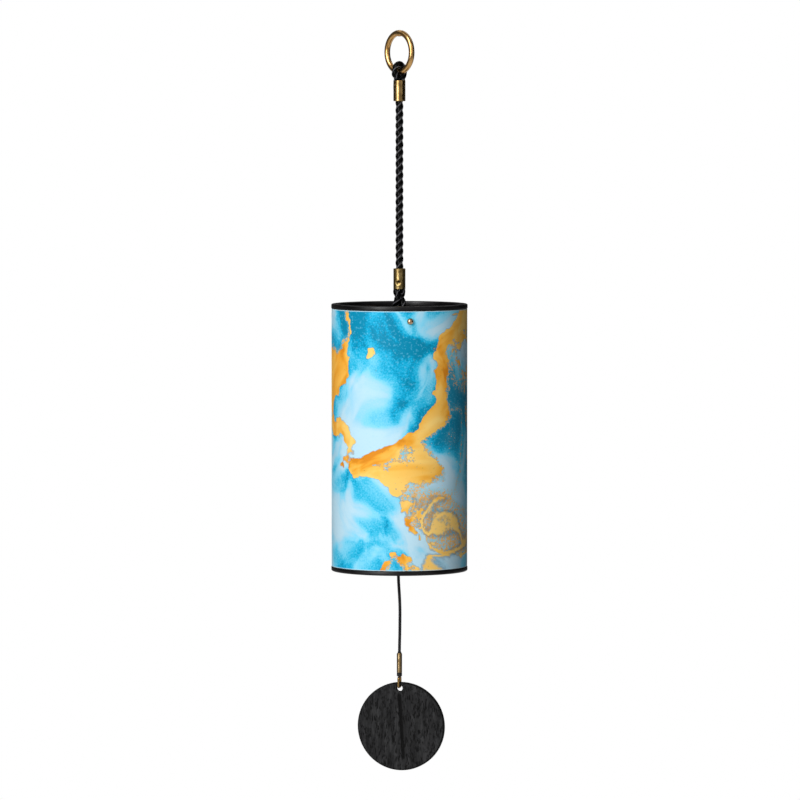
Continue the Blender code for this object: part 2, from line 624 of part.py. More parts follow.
def clapper_train(bridle_axis, clapper_axis, sail_drop_axis):
    """The bridle on the pin, the cord hooked to it, the clapper, and the bead that holds it up."""
    spacing = BEND_POINT_SPACING * CORD_DIAMETER * 2
    bridle = cord_piece("clapper_bridle", smooth_route(bridle_knots(), spacing), CORD_DIAMETER)
    place(bridle, BLACK_ROPE, (0.0, 0.0, pin_z), bridle_axis)

    crimp_bore = CRIMP_OUTER_DIAMETER / 2 - CRIMP_WALL
    square_to_bridle = Vector((1.0, 0.0, 0.0))
    knots = eye_knots(
        square_to_bridle, cord_loop_radius, CORD_EYE_THROAT, CORD_EYE_INSERT, CORD_DIAMETER, crimp_bore
    )
    eye = cord_piece("clapper_cord_eye", smooth_route(knots, spacing), CORD_DIAMETER)
    place(eye, BLACK_ROPE, (0.0, 0.0, bridle_foot_z), clapper_axis)
    sleeve(
        "clapper_cord_crimp", CRIMP_OUTER_DIAMETER, crimp_bore, CRIMP_LENGTH, crimp_top_z,
        AGED_BRASS, clapper_axis
    )

    cord_top = crimp_foot_z + CORD_TOP_INSERT
    cord_foot = cord_joint_z + SEAT_GAP / 2
    cord = straight_cord("clapper_cord", cord_top, cord_foot, CORD_DIAMETER)
    place(cord, BLACK_ROPE, (0.0, 0.0, cord_top), clapper_axis)

    half = CLAPPER_THICKNESS / 2
    r = CLAPPER_ROUNDING
    outline = [(cord_bore_radius, -half)]
    outline += arc((clapper_radius - r, -half + r), r, -90, 0, 3)
    outline += arc((clapper_radius - r, half - r), r, 0, 90, 3)
    outline += [(cord_bore_radius, half)]
    clapper = mesh_piece("clapper", turned(outline, MEDIUM_SEGMENTS))
    place(clapper, PALE_WOOD, (0.0, 0.0, clapper_z), clapper_axis)
    sleeve(
        "clapper_stop_bead", BEAD_DIAMETER, cord_bore_radius, BEAD_LENGTH, bead_top_z,
        AGED_BRASS, clapper_axis
    )

    drop_top = cord_joint_z - SEAT_GAP / 2
    drop_foot = sail_bend_z + CORD_BEND_GAP / 2
    drop = straight_cord("sail_cord_upper", drop_top, drop_foot, CORD_DIAMETER)
    place(drop, BLACK_ROPE, (0.0, 0.0, drop_top), sail_drop_axis)


def link_knots():
    """The link's route: a shank, then once round through the sail's hole and back to the shank.

    It lies in the plane of the sail's axis and +Z, with its lowest point at the origin.
    """
    corner = LINK_CORNER_RADIUS
    side = SAIL_THICKNESS / 2 + LINK_TO_SAIL_FACE + LINK_WIRE_DIAMETER / 2
    shank_top = sail_ferrule_foot_z - link_foot_z + LINK_SHANK_INSERT
    shank_foot = collar_foot_z - link_foot_z
    shoulder = shank_foot - SEAT_GAP - LINK_WIRE_DIAMETER
    shank_bend = side - corner
    route = [(0.0, shank_top), (0.0, shank_foot)]
    route += arc((-shank_bend, shoulder + shank_bend), shank_bend, -30, -90, 2)
    route += arc((-side + corner, shoulder - corner), corner, 90, 180, 2)[1:]
    route += arc((-side + corner, corner), corner, 180, 270, 2)
    route += arc((side - corner, corner), corner, 270, 360, 2)
    route += arc((side - corner, shoulder - corner), corner, 0, 90, 2)
    return route


def sail_train(line_axis, sail_axis):
    """The free cord under the tube, its ferrule and collar, the link, and the sail."""
    cord_top = sail_bend_z - CORD_BEND_GAP / 2
    cord_foot = sail_ferrule_top_z - SAIL_CORD_INSERT
    cord = straight_cord("sail_cord_lower", cord_top, cord_foot, CORD_DIAMETER)
    place(cord, BLACK_ROPE, (0.0, 0.0, cord_top), line_axis)
    ferrule_bore = SAIL_FERRULE_OUTER_DIAMETER / 2 - SAIL_FERRULE_WALL
    sleeve(
        "sail_ferrule", SAIL_FERRULE_OUTER_DIAMETER, ferrule_bore, SAIL_FERRULE_LENGTH,
        sail_ferrule_top_z, AGED_BRASS, line_axis
    )
    collar_bore = SAIL_FERRULE_OUTER_DIAMETER / 2 - COLLAR_WALL
    sleeve(
        "cord_end_collar", SAIL_FERRULE_OUTER_DIAMETER, collar_bore, COLLAR_HEIGHT, collar_top_z,
        BLACK_ROPE, line_axis
    )

    face = Vector((math.sin(SAIL_YAW), -math.cos(SAIL_YAW), 0.0))
    knots = [(*(face * -depth + Vector((0.0, 0.0, height))), 1.0) for depth, height in link_knots()]
    route = smooth_route(knots, 2 * BEND_POINT_SPACING * LINK_WIRE_DIAMETER)
    link = cord_piece("sail_link", route, LINK_WIRE_DIAMETER)
    place(link, AGED_BRASS, (0.0, 0.0, link_foot_z), line_axis)

    radius = SAIL_DIAMETER / 2
    half = SAIL_THICKNESS / 2
    edge = SAIL_EDGE_ROUNDING
    outline = [(0.0, -half)] + arc((radius - edge, -half + edge), edge, -90, 0, ROUNDING_STEPS)
    outline += [(r, -z) for r, z in reversed(outline)]
    sail = mesh_piece("wind_sail", turned(outline, LARGE_SEGMENTS))
    sail.rotation_euler = (math.pi / 2, 0.0, SAIL_YAW)
    place(sail, BLACK_WOOD, (0.0, 0.0, sail_centre_z), sail_axis)
    hole_z = sail_top_z - SAIL_HOLE_EDGE - SAIL_HOLE_DIAMETER / 2
    hole = drill(SAIL_HOLE_DIAMETER / 2, -SAIL_THICKNESS, SAIL_THICKNESS, SLEEVE_SEGMENTS)
    sail_drill = cutter("sail_drill", hole, (0.0, 0.0, hole_z), sail_axis)
    sail_drill.rotation_euler = (math.pi / 2, 0.0, SAIL_YAW)
    combine(sail, sail_drill)


def build():
    """Build the chime from the ring down, each body on the empty that stands on its joint's axis."""
    clear_scene()
    hanging_ring()
    hanger = body_axis("eye_swing_axis", (0.0, 0.0, ring_foot_z))
    rope_axis = body_axis("rope_sway_axis", (0.0, 0.0, upper_ferrule_foot_z), hanger)
    lower_hanger = body_axis("rope_twist_axis", (0.0, 0.0, lower_ferrule_top_z), rope_axis)
    resonator = body_axis("tube_rock_axis", (0.0, 0.0, pin_z), lower_hanger)
    bridle_axis = body_axis("bridle_swing_axis", (0.0, 0.0, pin_z), resonator)
    clapper_axis = body_axis("clapper_sway_axis", (0.0, 0.0, bridle_bend_z), bridle_axis)
    sail_drop_axis = body_axis("sail_spin_axis", (0.0, 0.0, cord_joint_z), clapper_axis)
    line_axis = body_axis("sail_swing_axis", (0.0, 0.0, sail_bend_z), sail_drop_axis)
    sail_axis = body_axis("sail_tilt_axis", (0.0, 0.0, link_foot_z), line_axis)

    suspension(hanger, rope_axis, lower_hanger)
    tube_shell(resonator)
    cross_pin(resonator)
    rod_places = foot_and_plate(resonator)
    tuned_rods(rod_places, resonator)
    clapper_train(bridle_axis, clapper_axis, sail_drop_axis)
    sail_train(line_axis, sail_axis)


build()
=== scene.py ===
"""Visual model of a tube wind chime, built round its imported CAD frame.

The chime hangs on one vertical line: a brass ring, a black laid rope with an eye and a crimped
ferrule at each end, a tube in a marbled sheet with eight tuned rods inside, and a round black
sail on a thin cord. Every length is in metres and every piece stands where its CAD node stands.
"""
from __future__ import annotations

import logging
import math
from collections.abc import Callable, Sequence
from dataclasses import dataclass
from enum import Enum

import bmesh
import bpy
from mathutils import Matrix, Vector, noise

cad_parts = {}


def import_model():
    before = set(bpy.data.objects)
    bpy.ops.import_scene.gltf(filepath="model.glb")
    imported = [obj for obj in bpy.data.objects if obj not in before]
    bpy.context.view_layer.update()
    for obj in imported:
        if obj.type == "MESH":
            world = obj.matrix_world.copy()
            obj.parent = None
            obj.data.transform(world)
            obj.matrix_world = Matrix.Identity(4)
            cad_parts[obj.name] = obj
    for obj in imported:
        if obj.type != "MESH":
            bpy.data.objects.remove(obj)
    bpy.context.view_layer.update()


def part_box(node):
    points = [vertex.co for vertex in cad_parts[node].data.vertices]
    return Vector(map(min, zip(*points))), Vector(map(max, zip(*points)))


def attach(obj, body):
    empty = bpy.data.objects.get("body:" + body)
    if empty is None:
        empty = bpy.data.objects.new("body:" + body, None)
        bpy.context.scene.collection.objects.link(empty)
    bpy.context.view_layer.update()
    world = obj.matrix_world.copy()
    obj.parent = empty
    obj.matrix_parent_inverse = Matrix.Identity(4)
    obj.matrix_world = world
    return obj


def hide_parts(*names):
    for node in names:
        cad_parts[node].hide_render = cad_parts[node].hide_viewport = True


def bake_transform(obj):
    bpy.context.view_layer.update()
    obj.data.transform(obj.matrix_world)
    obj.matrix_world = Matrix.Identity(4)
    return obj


LOG = logging.getLogger("chime")
MM = 0.001
UP = Vector((0.0, 0.0, 1.0))
RIGHT = Vector((1.0, 0.0, 0.0))
NOWHERE = (0.0, 0.0, 0.0)
EVEN = (1.0, 1.0, 1.0)
WHITE = (1.0, 1.0, 1.0, 1.0)
MERGE_DISTANCE = 1e-6
RING_YAW = math.radians(-60)

Pair = tuple[float, float]
Triple = tuple[float, float, float]
Outline = Sequence[Pair]
Part = bpy.types.Object


class Body(Enum):
    """The moving bodies of the chime, from the top down."""

    RING = "ring"
    HANGER = "hanger"
    ROPE = "rope"
    LOWER_HANGER = "lower_hanger"
    RESONATOR = "resonator"
    BRIDLE = "bridle"
    CLAPPER = "clapper"
    SAIL_DROP = "sail_drop"
    SAIL_LINE = "sail_line"
    SAIL = "sail"


class Slot(Enum):
    """The material slots."""

    BRASS = "aged_brass"
    PLATE = "plate_brass"
    ROD = "rod_steel"
    SCREW = "screw_steel"
    ROPE = "black_rope"
    CORD = "black_cord"
    TRIM = "black_trim"
    WALL = "tube_wall"
    SHEET = "marbled_sheet"
    BASE = "base_wood"
    CLAPPER = "clapper_wood"
    SAIL = "sail_wood"


# Hand work on meshes


def deselect() -> None:
    """Leave edit mode and deselect everything."""
    if bpy.context.mode != "OBJECT":
        bpy.ops.object.mode_set(mode="OBJECT")
    bpy.ops.object.select_all(action="DESELECT")


def take(part: Part) -> None:
    """Select one piece alone and make it the active one."""
    deselect()
    part.select_set(True)
    bpy.context.view_layer.objects.active = part


def pick(kind: str, wanted: Callable[[object], bool]) -> None:
    """Select the faces, edges or vertices that pass a test, in edit mode.

    Args:
        kind: "faces", "edges" or "verts".
        wanted: The test, given one element.
    """
    mesh = bpy.context.edit_object.data
    bpy.ops.mesh.select_mode(type={"faces": "FACE", "edges": "EDGE", "verts": "VERT"}[kind])
    bpy.ops.mesh.select_all(action="DESELECT")
    shape = bmesh.from_edit_mesh(mesh)
    for element in getattr(shape, kind):
        if wanted(element):
            element.select_set(True)
    shape.select_flush_mode()
    bmesh.update_edit_mesh(mesh)


def settle(part: Part, name: str, smooth_below: float = 35.0) -> Part:
    """Name a piece, put its place into its mesh and shade it smooth but for its edges.

    Args:
        part: The piece.
        name: Its name.
        smooth_below: Edges sharper than this, in degrees, stay sharp.

    Returns:
        The same piece.
    """
    take(part)
    part.name = name
    part.data.name = name
    bpy.ops.object.transform_apply(location=True, rotation=True, scale=True)
    bpy.ops.object.shade_smooth_by_angle(angle=math.radians(smooth_below))
    return part


def apply_modifier(part: Part, kind: str, **settings: object) -> None:
    """Add a modifier to a piece and apply it.

    Args:
        part: The piece.
        kind: The modifier's type.
        settings: Values of the modifier's properties.
    """
    take(part)
    change = part.modifiers.new(kind.title(), kind)
    for key, value in settings.items():
        setattr(change, key, value)
    bpy.ops.object.modifier_apply(modifier=change.name)


def ease_edges(part: Part, width: float, segments: int = 3, angle: float = 40.0) -> None:
    """Round every edge of a piece that is sharper than an angle in degrees."""
    apply_modifier(
        part, "BEVEL", width=width, segments=segments, limit_method="ANGLE",
        angle_limit=math.radians(angle), use_clamp_overlap=True,
    )


def discard(part: Part) -> None:
    """Throw a piece away, with its mesh."""
    mesh = part.data
    bpy.data.objects.remove(part, do_unlink=True)
    bpy.data.meshes.remove(mesh)


def cut(part: Part, tool: Part, operation: str = "DIFFERENCE") -> None:
    """Cut a piece with a tool, or join the tool to it with "UNION", and throw the tool away."""
    apply_modifier(part, "BOOLEAN", operation=operation, solver="EXACT", object=tool)
    discard(tool)


def turned(
    name: str, outline: Outline, segments: int, closed: bool = True, smooth_below: float = 35.0
) -> Part:
    """Draw an outline from one vertex by extrusion and spin it once round the Z axis.

    Args:
        name: The piece's name.
        outline: (radius, height) points in order.
        segments: Steps in the full turn.
        closed: Whether the last point joins the first. False where both lie on the axis.
        smooth_below: Edges sharper than this, in degrees, stay sharp.

    Returns:
        The turned piece, its normals pointing outwards.
    """
    deselect()
    radius, height = outline[0]
    bpy.ops.mesh.primitive_plane_add(size=MM, location=(radius, 0.0, height))
    part = bpy.context.object
    bpy.ops.object.mode_set(mode="EDIT")
    bpy.ops.mesh.select_mode(type="VERT")
    bpy.ops.mesh.merge(type="CENTER")
    for (radius, height), (next_radius, next_height) in zip(outline, outline[1:]):
        step = (next_radius - radius, 0.0, next_height - height)
        bpy.ops.mesh.extrude_region_move(TRANSFORM_OT_translate={"value": step})
    if closed:
        last = len(outline) - 1
        pick("verts", lambda corner: corner.index in (0, last))
        bpy.ops.mesh.edge_face_add()
    bpy.ops.mesh.select_all(action="SELECT")
    bpy.ops.mesh.spin(steps=segments, angle=math.tau, center=(0, 0, 0), axis=(0, 0, 1))
    bpy.ops.mesh.select_all(action="SELECT")
    bpy.ops.mesh.remove_doubles(threshold=MERGE_DISTANCE)
    bpy.ops.mesh.normals_make_consistent(inside=False)
    bpy.ops.object.mode_set(mode="OBJECT")
    return settle(part, name, smooth_below)


def rod_tool(radius: float, low: Sequence[float], high: Sequence[float], vertices: int = 32) -> Part:
    """Add a plain round tool between two points, for drilling.

    Args:
        radius: Its radius.
        low: The middle of one end.
        high: The middle of the other end.
        vertices: Corners round it.

    Returns:
        The tool.
    """
    start, end = Vector(low), Vector(high)
    along = end - start
    deselect()
    bpy.ops.mesh.primitive_cylinder_add(
        vertices=vertices, radius=radius, depth=along.length, location=(start + end) / 2,
        rotation=along.to_track_quat("Z", "Y").to_euler(),
    )
    return settle(bpy.context.object, "tool")


def reshape(part: Part, move: Callable[[Vector], Vector]) -> None:
    """Move every vertex of a piece to where a function of its place says.

    Args:
        part: The piece.
        move: The function, from a vertex's place to its new one.
    """
    for corner in part.data.vertices:
        corner.co = move(corner.co)
    part.data.update()


def reseat(part: Part, shift: Sequence[float], turn: Triple = NOWHERE) -> Part:
    """Turn a piece about the origin, then shift it, with the new place in its mesh.

    Args:
        part: The piece.
        shift: How far it moves.
        turn: Its turn about X, Y and Z.

    Returns:
        The same piece.
    """
    take(part)
    part.rotation_euler = turn
    part.location = shift
    bpy.ops.object.transform_apply(location=True, rotation=True, scale=True)
    return part


def copy_of(part: Part, name: str) -> Part:
    """Duplicate a piece with a mesh of its own.

    Args:
        part: The piece.
        name: The copy's name.

    Returns:
        The copy.
    """
    take(part)
    bpy.ops.object.duplicate(linked=False)
    twin = bpy.context.object
    twin.name = name
    twin.data.name = name
    return twin


def arc(centre: Pair, radius: float, start: float, end: float, steps: int) -> list[Pair]:
    """Points on an arc of an outline, with angles in degrees from the radial direction."""
    angles = [math.radians(start + (end - start) * i / steps) for i in range(steps + 1)]
    return [(centre[0] + radius * math.cos(a), centre[1] + radius * math.sin(a)) for a in angles]


def smoothstep(low: float, high: float, value: float) -> float:
    """Rise smoothly from 0 to 1 as a value goes from low to high."""
    t = min(1.0, max(0.0, (value - low) / (high - low)))
    return t * t * (3.0 - 2.0 * t)


def level_direction(angle: float) -> Vector:
    """Level unit vector at an angle round the Z axis."""
    return Vector((math.cos(angle), math.sin(angle), 0.0))


def span(node: str) -> Pair:
    """Lowest and highest level of a CAD node."""
    low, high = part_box(node)
    return low[2], high[2]


def middle_of(node: str) -> float:
    """Level halfway up a CAD node."""
    return sum(span(node)) / 2


def install(
    part: Part, material: bpy.types.Material, slot: Slot, body: Body | None, *nodes: str
) -> Part:
    """Dress a finished piece and put it on its body in place of the CAD nodes it stands for.

    Args:
        part: The piece.
        material: Its finish.
        slot: The slot for that finish; not used.
        body: The body it rides on, or None to leave it on none.
        nodes: The CAD nodes it replaces.

    Returns:
        The same piece.
    """
    part.data.materials.clear()
    part.data.materials.append(material)
    if body:
        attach(part, body.value)
    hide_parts(*nodes)
    LOG.info("%s: %d faces in place of %s", part.name, len(part.data.polygons), ", ".join(nodes))
    return part


# Cords and wires


def plumb_knot(level: float, share: float = 1.0, aside: float = 0.0) -> Vector:
    """Knot of a route that hangs straight down, with the cord's share of its thickness there."""
    return Vector((aside, 0.0, level, share))


def smooth_route(knots: Sequence[Vector], spacing: float) -> list[Vector]:
    """Read points about one spacing apart from the smooth curve through the knots.

    Args:
        knots: Points (x, y, z, share), whose share is the cord's thickness there.
        spacing: Distance between the points.

    Returns:
        The points, with their shares.
    """
    ends = [2 * knots[0] - knots[1], *knots, 2 * knots[-1] - knots[-2]]
    route = []
    for before, start, end, after in zip(ends, ends[1:], ends[2:], ends[3:]):
        steps = max(1, round((end.xyz - start.xyz).length / spacing))
        for i in range(steps):
            t = i / steps
            route.append(
                0.5 * (
                    2 * start
                    + (end - before) * t
                    + (2 * before - 5 * start + 4 * end - after) * t ** 2
                    + (3 * start - before - 3 * end + after) * t ** 3
                )
            )
    return [*route, knots[-1]]


@dataclass(frozen=True)
class Lay:
    """How a cord is laid up: right-handed, of strands that are themselves twisted of yarns.

    Attributes:
        strands: Strands in the cord, or 0 for a plain round wire.
        yarns: Yarns that show round one strand.
        pitch: Length of one full turn of a strand, in cord diameters.
        valley: Depth of the hollow between strands, as a share of the radius left there.
        yarn_depth: Depth of the hollow between yarns, as a share of the radius.
        around: Points round the cord.
    """

    strands: int = 3
    yarns: int = 8
    pitch: float = 3.15
    valley: float = 0.77
    yarn_depth: float = 0.025
    around: int = 84

    def surface(self, angle: float, twist: float) -> Pair:
        """Measure the section at one angle.

        Args:
            angle: Angle round the cord, turning with its strands.
            twist: How far the strands have turned.

        Returns:
            The surface's radius and its height above the hollows, as shares of the radius.
        """
        if not self.strands:
            return 1.0, 1.0
        half = math.pi / self.strands
        strand = 1.0 / (1.0 + 1.0 / math.sin(half))
        offset = 1.0 - strand
        local = angle % (2 * half) - half
        reach = offset * math.cos(local) + math.sqrt(max(0.0, strand ** 2 - (offset * math.sin(local)) ** 2))
        round_strand = math.atan2(reach * math.sin(local), reach * math.cos(local) - offset)
        yarn = abs(math.cos(self.yarns / 2 * (round_strand + twist / strand))) - 1.0
        crown = smoothstep(self.valley - 0.1, 1.0, reach)
        return max(self.valley, reach + self.yarn_depth * yarn), crown


WIRE = Lay(strands=0, around=20)
ROPE_LAY = Lay(pitch=2.86, valley=0.80)
EYE_LAY = Lay(valley=0.88, around=72)
CORD_LAY = Lay(pitch=2.9, yarn_depth=0.0, around=36)
SAIL_CORD_LAY = Lay(strands=4, pitch=2.1, valley=0.76, yarn_depth=0.0, around=40)


def laid_cord(name: str, route: Sequence[Vector], diameter: float, lay: Lay) -> Part:
    """Build the mesh of a cord round a route, closed at both ends.

    Args:
        name: The piece's name.
        route: Ring centres with their shares of the diameter.
        diameter: The cord's own diameter.
        lay: How it is laid up.

    Returns:
        The cord, with a UV map "lay" and the attribute "crown", 0 in the hollows and 1 on top.
    """
    count = lay.around
    normal = None
    along = 0.0
    points, crowns, lengths = [], [], []
    for i, knot in enumerate(route):
        behind = route[max(0, i - 1)].xyz
        tangent = (route[min(len(route) - 1, i + 1)].xyz - behind).normalized()
        if normal is None:
            normal = tangent.orthogonal()
        normal = (normal - tangent * normal.dot(tangent)).normalized()
        across = tangent.cross(normal)
        along += (knot.xyz - behind).length
        lengths.append(along)
        twist = math.tau * along / (lay.pitch * diameter)
        for k in range(count):
            angle = math.tau * k / count
            reach, crown = lay.surface(angle, twist)
            reach *= knot.w * diameter / 2
            turn = angle + twist
            points.append(knot.xyz + (normal * math.cos(turn) + across * math.sin(turn)) * reach)
            crowns.append(crown)
    first, last = len(points), len(points) + 1
    points += [route[0].xyz, route[-1].xyz]
    crowns += [0.0, 0.0]
    top = (len(route) - 1) * count
    faces, corners = [], []
    for i in range(len(route) - 1):
        for k in range(count):
            a, b = i * count + k, i * count + (k + 1) % count
            faces.append((a, b, b + count, a + count))
            left, right = k / count, (k + 1) / count
            low, high = lengths[i] / diameter, lengths[i + 1] / diameter
            corners += [(left, low), (right, low), (right, high), (left, high)]
    for k in range(count):
        other = (k + 1) % count
        faces += [(other, k, first), (top + k, top + other, last)]
        corners += [(0.0, 0.0)] * 6
    mesh = bpy.data.meshes.new(name)
    mesh.from_pydata(points, [], faces)
    layer = mesh.uv_layers.new(name="lay")
    layer.data.foreach_set("uv", [value for corner in corners for value in corner])
    crown_layer = mesh.attributes.new("crown", "FLOAT", "POINT")
    crown_layer.data.foreach_set("value", crowns)
    mesh.shade_smooth()
    mesh.update()
    part = bpy.data.objects.new(name, mesh)
    bpy.context.collection.objects.link(part)
    return part


def centreline(route: Sequence[Vector], spacing: float) -> list[Triple]:
    """Thin a route to points about one spacing apart, ends kept.

    Args:
        route: The route's points.
        spacing: Distance between the points kept.

    Returns:
        Their places.
    """
    step = max(1, round(spacing / (route[1].xyz - route[0].xyz).length))
    kept = list(route[:-1:step]) + [route[-1]]
    return [tuple(point.xyz) for point in kept]


@dataclass(frozen=True)
class Eye:
    """An eye at a cord's end: round a bar, then both legs together into a sleeve.

    Attributes:
        across: Level direction across the bar.
        loop: From the bar's middle to the cord's middle, across and along.
        mouth: From the bar's middle to the sleeve.
        insert: How far the two ends reach into the sleeve.
        diameter: The cord's diameter.
        bore_radius: Radius of the sleeve's bore.
        legs: Points on one leg: distance from the bar, distance aside, and turn in degrees.
        upwards: Whether the sleeve is above the bar.
        crest: The cord's share of its diameter at the top of the loop, where it lies flattened.
        leg_share: Its share of its diameter along the legs.
        loop_angles: Where the loop's knots stand round the bar, in degrees above level.
    """

    across: Vector
    loop: Pair
    mouth: float
    insert: float
    diameter: float
    bore_radius: float
    legs: tuple[Triple, ...]
    upwards: bool = False
    crest: float = 1.0
    leg_share: float = 1.0
    loop_angles: tuple[float, ...] = (52, 14, -24)

    def knots(self, bar: Sequence[float]) -> list[Vector]:
        """Lay the eye's knots out round a bar.

        Args:
            bar: The bar's middle.

        Returns:
            The knots with their shares of the diameter.
        """
        aside, along = self.loop
        share = self.bore_radius / self.diameter
        half = []
        for angle in self.loop_angles:
            turn = math.radians(angle)
            half.append((aside * math.cos(turn), along * math.sin(turn), 0.0, 1.0))
        _, _, end_turn = self.legs[-1]
        ends = [(self.mouth + deep, self.bore_radius / 2, end_turn) for deep in (0.0, self.insert)]
        for distance, offset, degrees in (*self.legs, *ends):
            turn = math.radians(degrees)
            width = share if distance >= self.mouth else self.leg_share
            half.append((offset * math.cos(turn), -distance, offset * math.sin(turn), width))
        other = [(-u, v, -w, s) for u, v, w, s in reversed(half)]
        sign = -1.0 if self.upwards else 1.0
        ahead = self.across.cross(UP)
        knots = []
        for u, v, w, s in [*other, (0.0, along, 0.0, self.crest), *half]:
            place = Vector(bar) + self.across * u + ahead * w + UP * (v * sign)
            knots.append(Vector((*place, s)))
        return knots


# Finishes


def screen_colour(code: str) -> tuple[float, float, float, float]:
    """Turn a screen colour such as "c8ebfa" into linear RGBA."""
    channels = [int(code[i:i + 2], 16) / 255 for i in (0, 2, 4)]
    return (*[c / 12.92 if c <= 0.04045 else ((c + 0.055) / 1.055) ** 2.4 for c in channels], 1.0)


def arithmetic(operation: str, swapped: bool = False) -> Callable[[Value, Value | float], Value]:
    """Make one of the arithmetic operators of a value.

    Args:
        operation: The math node's operation.
        swapped: Whether the value is the second of the two operands.

    Returns:
        The operator, as a method.
    """

    def work(value: Value, other: Value | float) -> Value:
        """Work out a value with another one."""
        first, second = (other, value) if swapped else (value, other)
        return value.graph.math(operation, first, second)

    return work


class Value:
    """What a material works out at each point: a number, place, colour or shader.

    Numbers take the usual arithmetic, and each operator adds one math node.
    """

    def __init__(self, graph: Graph, socket: bpy.types.NodeSocket) -> None:
        """Hold a node's output and the graph that it is in."""
        self.graph = graph
        self.socket = socket

    __add__ = arithmetic("ADD")
    __sub__ = arithmetic("SUBTRACT")
    __rsub__ = arithmetic("SUBTRACT", swapped=True)
    __mul__ = arithmetic("MULTIPLY")
    __truediv__ = arithmetic("DIVIDE")
    __mod__ = arithmetic("FLOORED_MODULO")

    def __abs__(self) -> Value:
        """Drop its sign."""
        return self.graph.math("ABSOLUTE", self)


class Graph:
    """The nodes of a material or of the world, with short calls for those that the finishes share."""

    def __init__(self, owner: bpy.types.Material | bpy.types.World) -> None:
        """Switch the nodes on."""
        owner.use_nodes = True
        self.owner = owner
        self.tree = owner.node_tree
        self.shader = self.tree.nodes.get("Principled BSDF")

    def add(self, kind: str, feeds: dict | None = None, **settings: object) -> bpy.types.Node:
        """Add a node.

        Args:
            kind: The node's type without "ShaderNode".
            feeds: Values for its inputs, by name or number.
            settings: Values of its properties.

        Returns:
            The node.
        """
        node = self.tree.nodes.new("ShaderNode" + kind)
        for key, value in settings.items():
            setattr(node, key, value)
        for key, value in (feeds or {}).items():
            self.feed(node.inputs[key], value)
        return node

    def value(self, kind: str, feeds: dict | None = None, output: int | str = 0, **settings: object) -> Value:
        """Add a node and take the value that one of its outputs gives."""
        return Value(self, self.add(kind, feeds, **settings).outputs[output])

    def feed(self, socket: bpy.types.NodeSocket, value: object) -> None:
        """Link a value into an input, or set the input's own number or colour."""
        if isinstance(value, Value):
            self.tree.links.new(value.socket, socket)
        else:
            socket.default_value = value

    def mapped(self, where: Value, scale: Triple = EVEN, shift: Triple = NOWHERE) -> Value:
        """Scale a place and shift it."""
        return self.value("Mapping", {"Vector": where, "Scale": scale, "Location": shift})

    def place(self, scale: Triple = EVEN, turn: float = 0.0, shift: Triple = NOWHERE) -> Value:
        """Read Object coordinates.

        Args:
            scale: What they are multiplied by, after the turn.
            turn: The pattern's turn about Z.
            shift: What is added at last.

        Returns:
            The place.
        """
        where = self.value("TexCoord", output="Object")
        turned_back = self.value("Mapping", {"Vector": where, "Rotation": (0.0, 0.0, -turn)})
        return self.mapped(turned_back, scale, shift)

    def math(self, operation: str, first: Value | float, second: Value | float = 0.0) -> Value:
        """Calculate with one or two numbers."""
        return self.value("Math", {0: first, 1: second}, operation=operation)

    def length(self, x: Value, y: Value) -> Value:
        """Length of a flat vector."""
        return self.math("SQRT", x * x + y * y)

    def vector(self, x: Value, y: Value) -> Value:
        """Combine two numbers into a flat place."""
        return self.value("CombineXYZ", {0: x, 1: y})

    def split(self, where: Value) -> tuple[Value, ...]:
        """Separate a place into its three numbers."""
        return tuple(Value(self, socket) for socket in self.add("SeparateXYZ", {0: where}).outputs)

    def polar(self, turn: float = 0.0) -> tuple[Value, Value, Value]:
        """Angle round the Z axis from a start angle, radius and height of a point."""
        x, y, z = self.split(self.place(turn=turn))
        return self.math("ARCTAN2", y, x), self.length(x, y), z

    def noise(
        self, where: Value, scale: float, detail: float = 2.0, roughness: float = 0.5, colour: bool = False
    ) -> Value:
        """Smooth noise from 0 to 1, as a number or as a colour."""
        feeds = {"Vector": where, "Scale": scale, "Detail": detail, "Roughness": roughness}
        return self.value("TexNoise", feeds, output=int(colour))

    def warp(self, where: Value, scale: float, reach: float, detail: float = 2.0) -> Value:
        """Shift a place by noise.

        Args:
            where: The place.
            scale: The noise's scale.
            reach: How far the shift goes from its least to its most.
            detail: The noise's finer layers.

        Returns:
            The new place.
        """
        drift = self.noise(where, scale, detail, colour=True)
        centred = self.value("VectorMath", {0: drift, 1: (0.5, 0.5, 0.5)}, operation="SUBTRACT")
        scaled = self.value("VectorMath", {0: centred, "Scale": reach}, operation="SCALE")
        return self.value("VectorMath", {0: where, 1: scaled}, operation="ADD")

    def rise(self, value: Value, low: float, high: float, start: float = 0.0, end: float = 1.0) -> Value:
        """Rise smoothly from start to end as a value goes from low to high."""
        feeds = {"Value": value, "From Min": low, "From Max": high, "To Min": start, "To Max": end}
        return self.value("MapRange", feeds, interpolation_type="SMOOTHSTEP")

    def ramp(self, value: Value, positions: Sequence[float], colours: Sequence[str]) -> Value:
        """Turn a number into a colour.

        Args:
            value: The number.
            positions: Where each colour stands.
            colours: The colours.

        Returns:
            The colour.
        """
        node = self.add("ValToRGB", {0: value})
        band = node.color_ramp.elements
        while len(band) < len(colours):
            band.new(0.5)
        for element, position, code in zip(band, positions, colours):
            element.position = position
            element.color = screen_colour(code)
        return Value(self, node.outputs[0])

    def blend(self, share: Value, first: Value | str, second: Value | str) -> Value:
        """Mix two colours by the share of the second."""
        first, second = (screen_colour(c) if isinstance(c, str) else c for c in (first, second))
        return self.value("Mix", {0: share, 6: first, 7: second}, output=2, data_type="RGBA")

    def relief(self, height: Value, depth: float, strength: float) -> None:
        """Give the shader a relief whose full height is a depth in metres."""
        feeds = {"Height": height, "Distance": depth, "Strength": strength}
        self.feed(self.shader.inputs["Normal"], self.value("Bump", feeds))

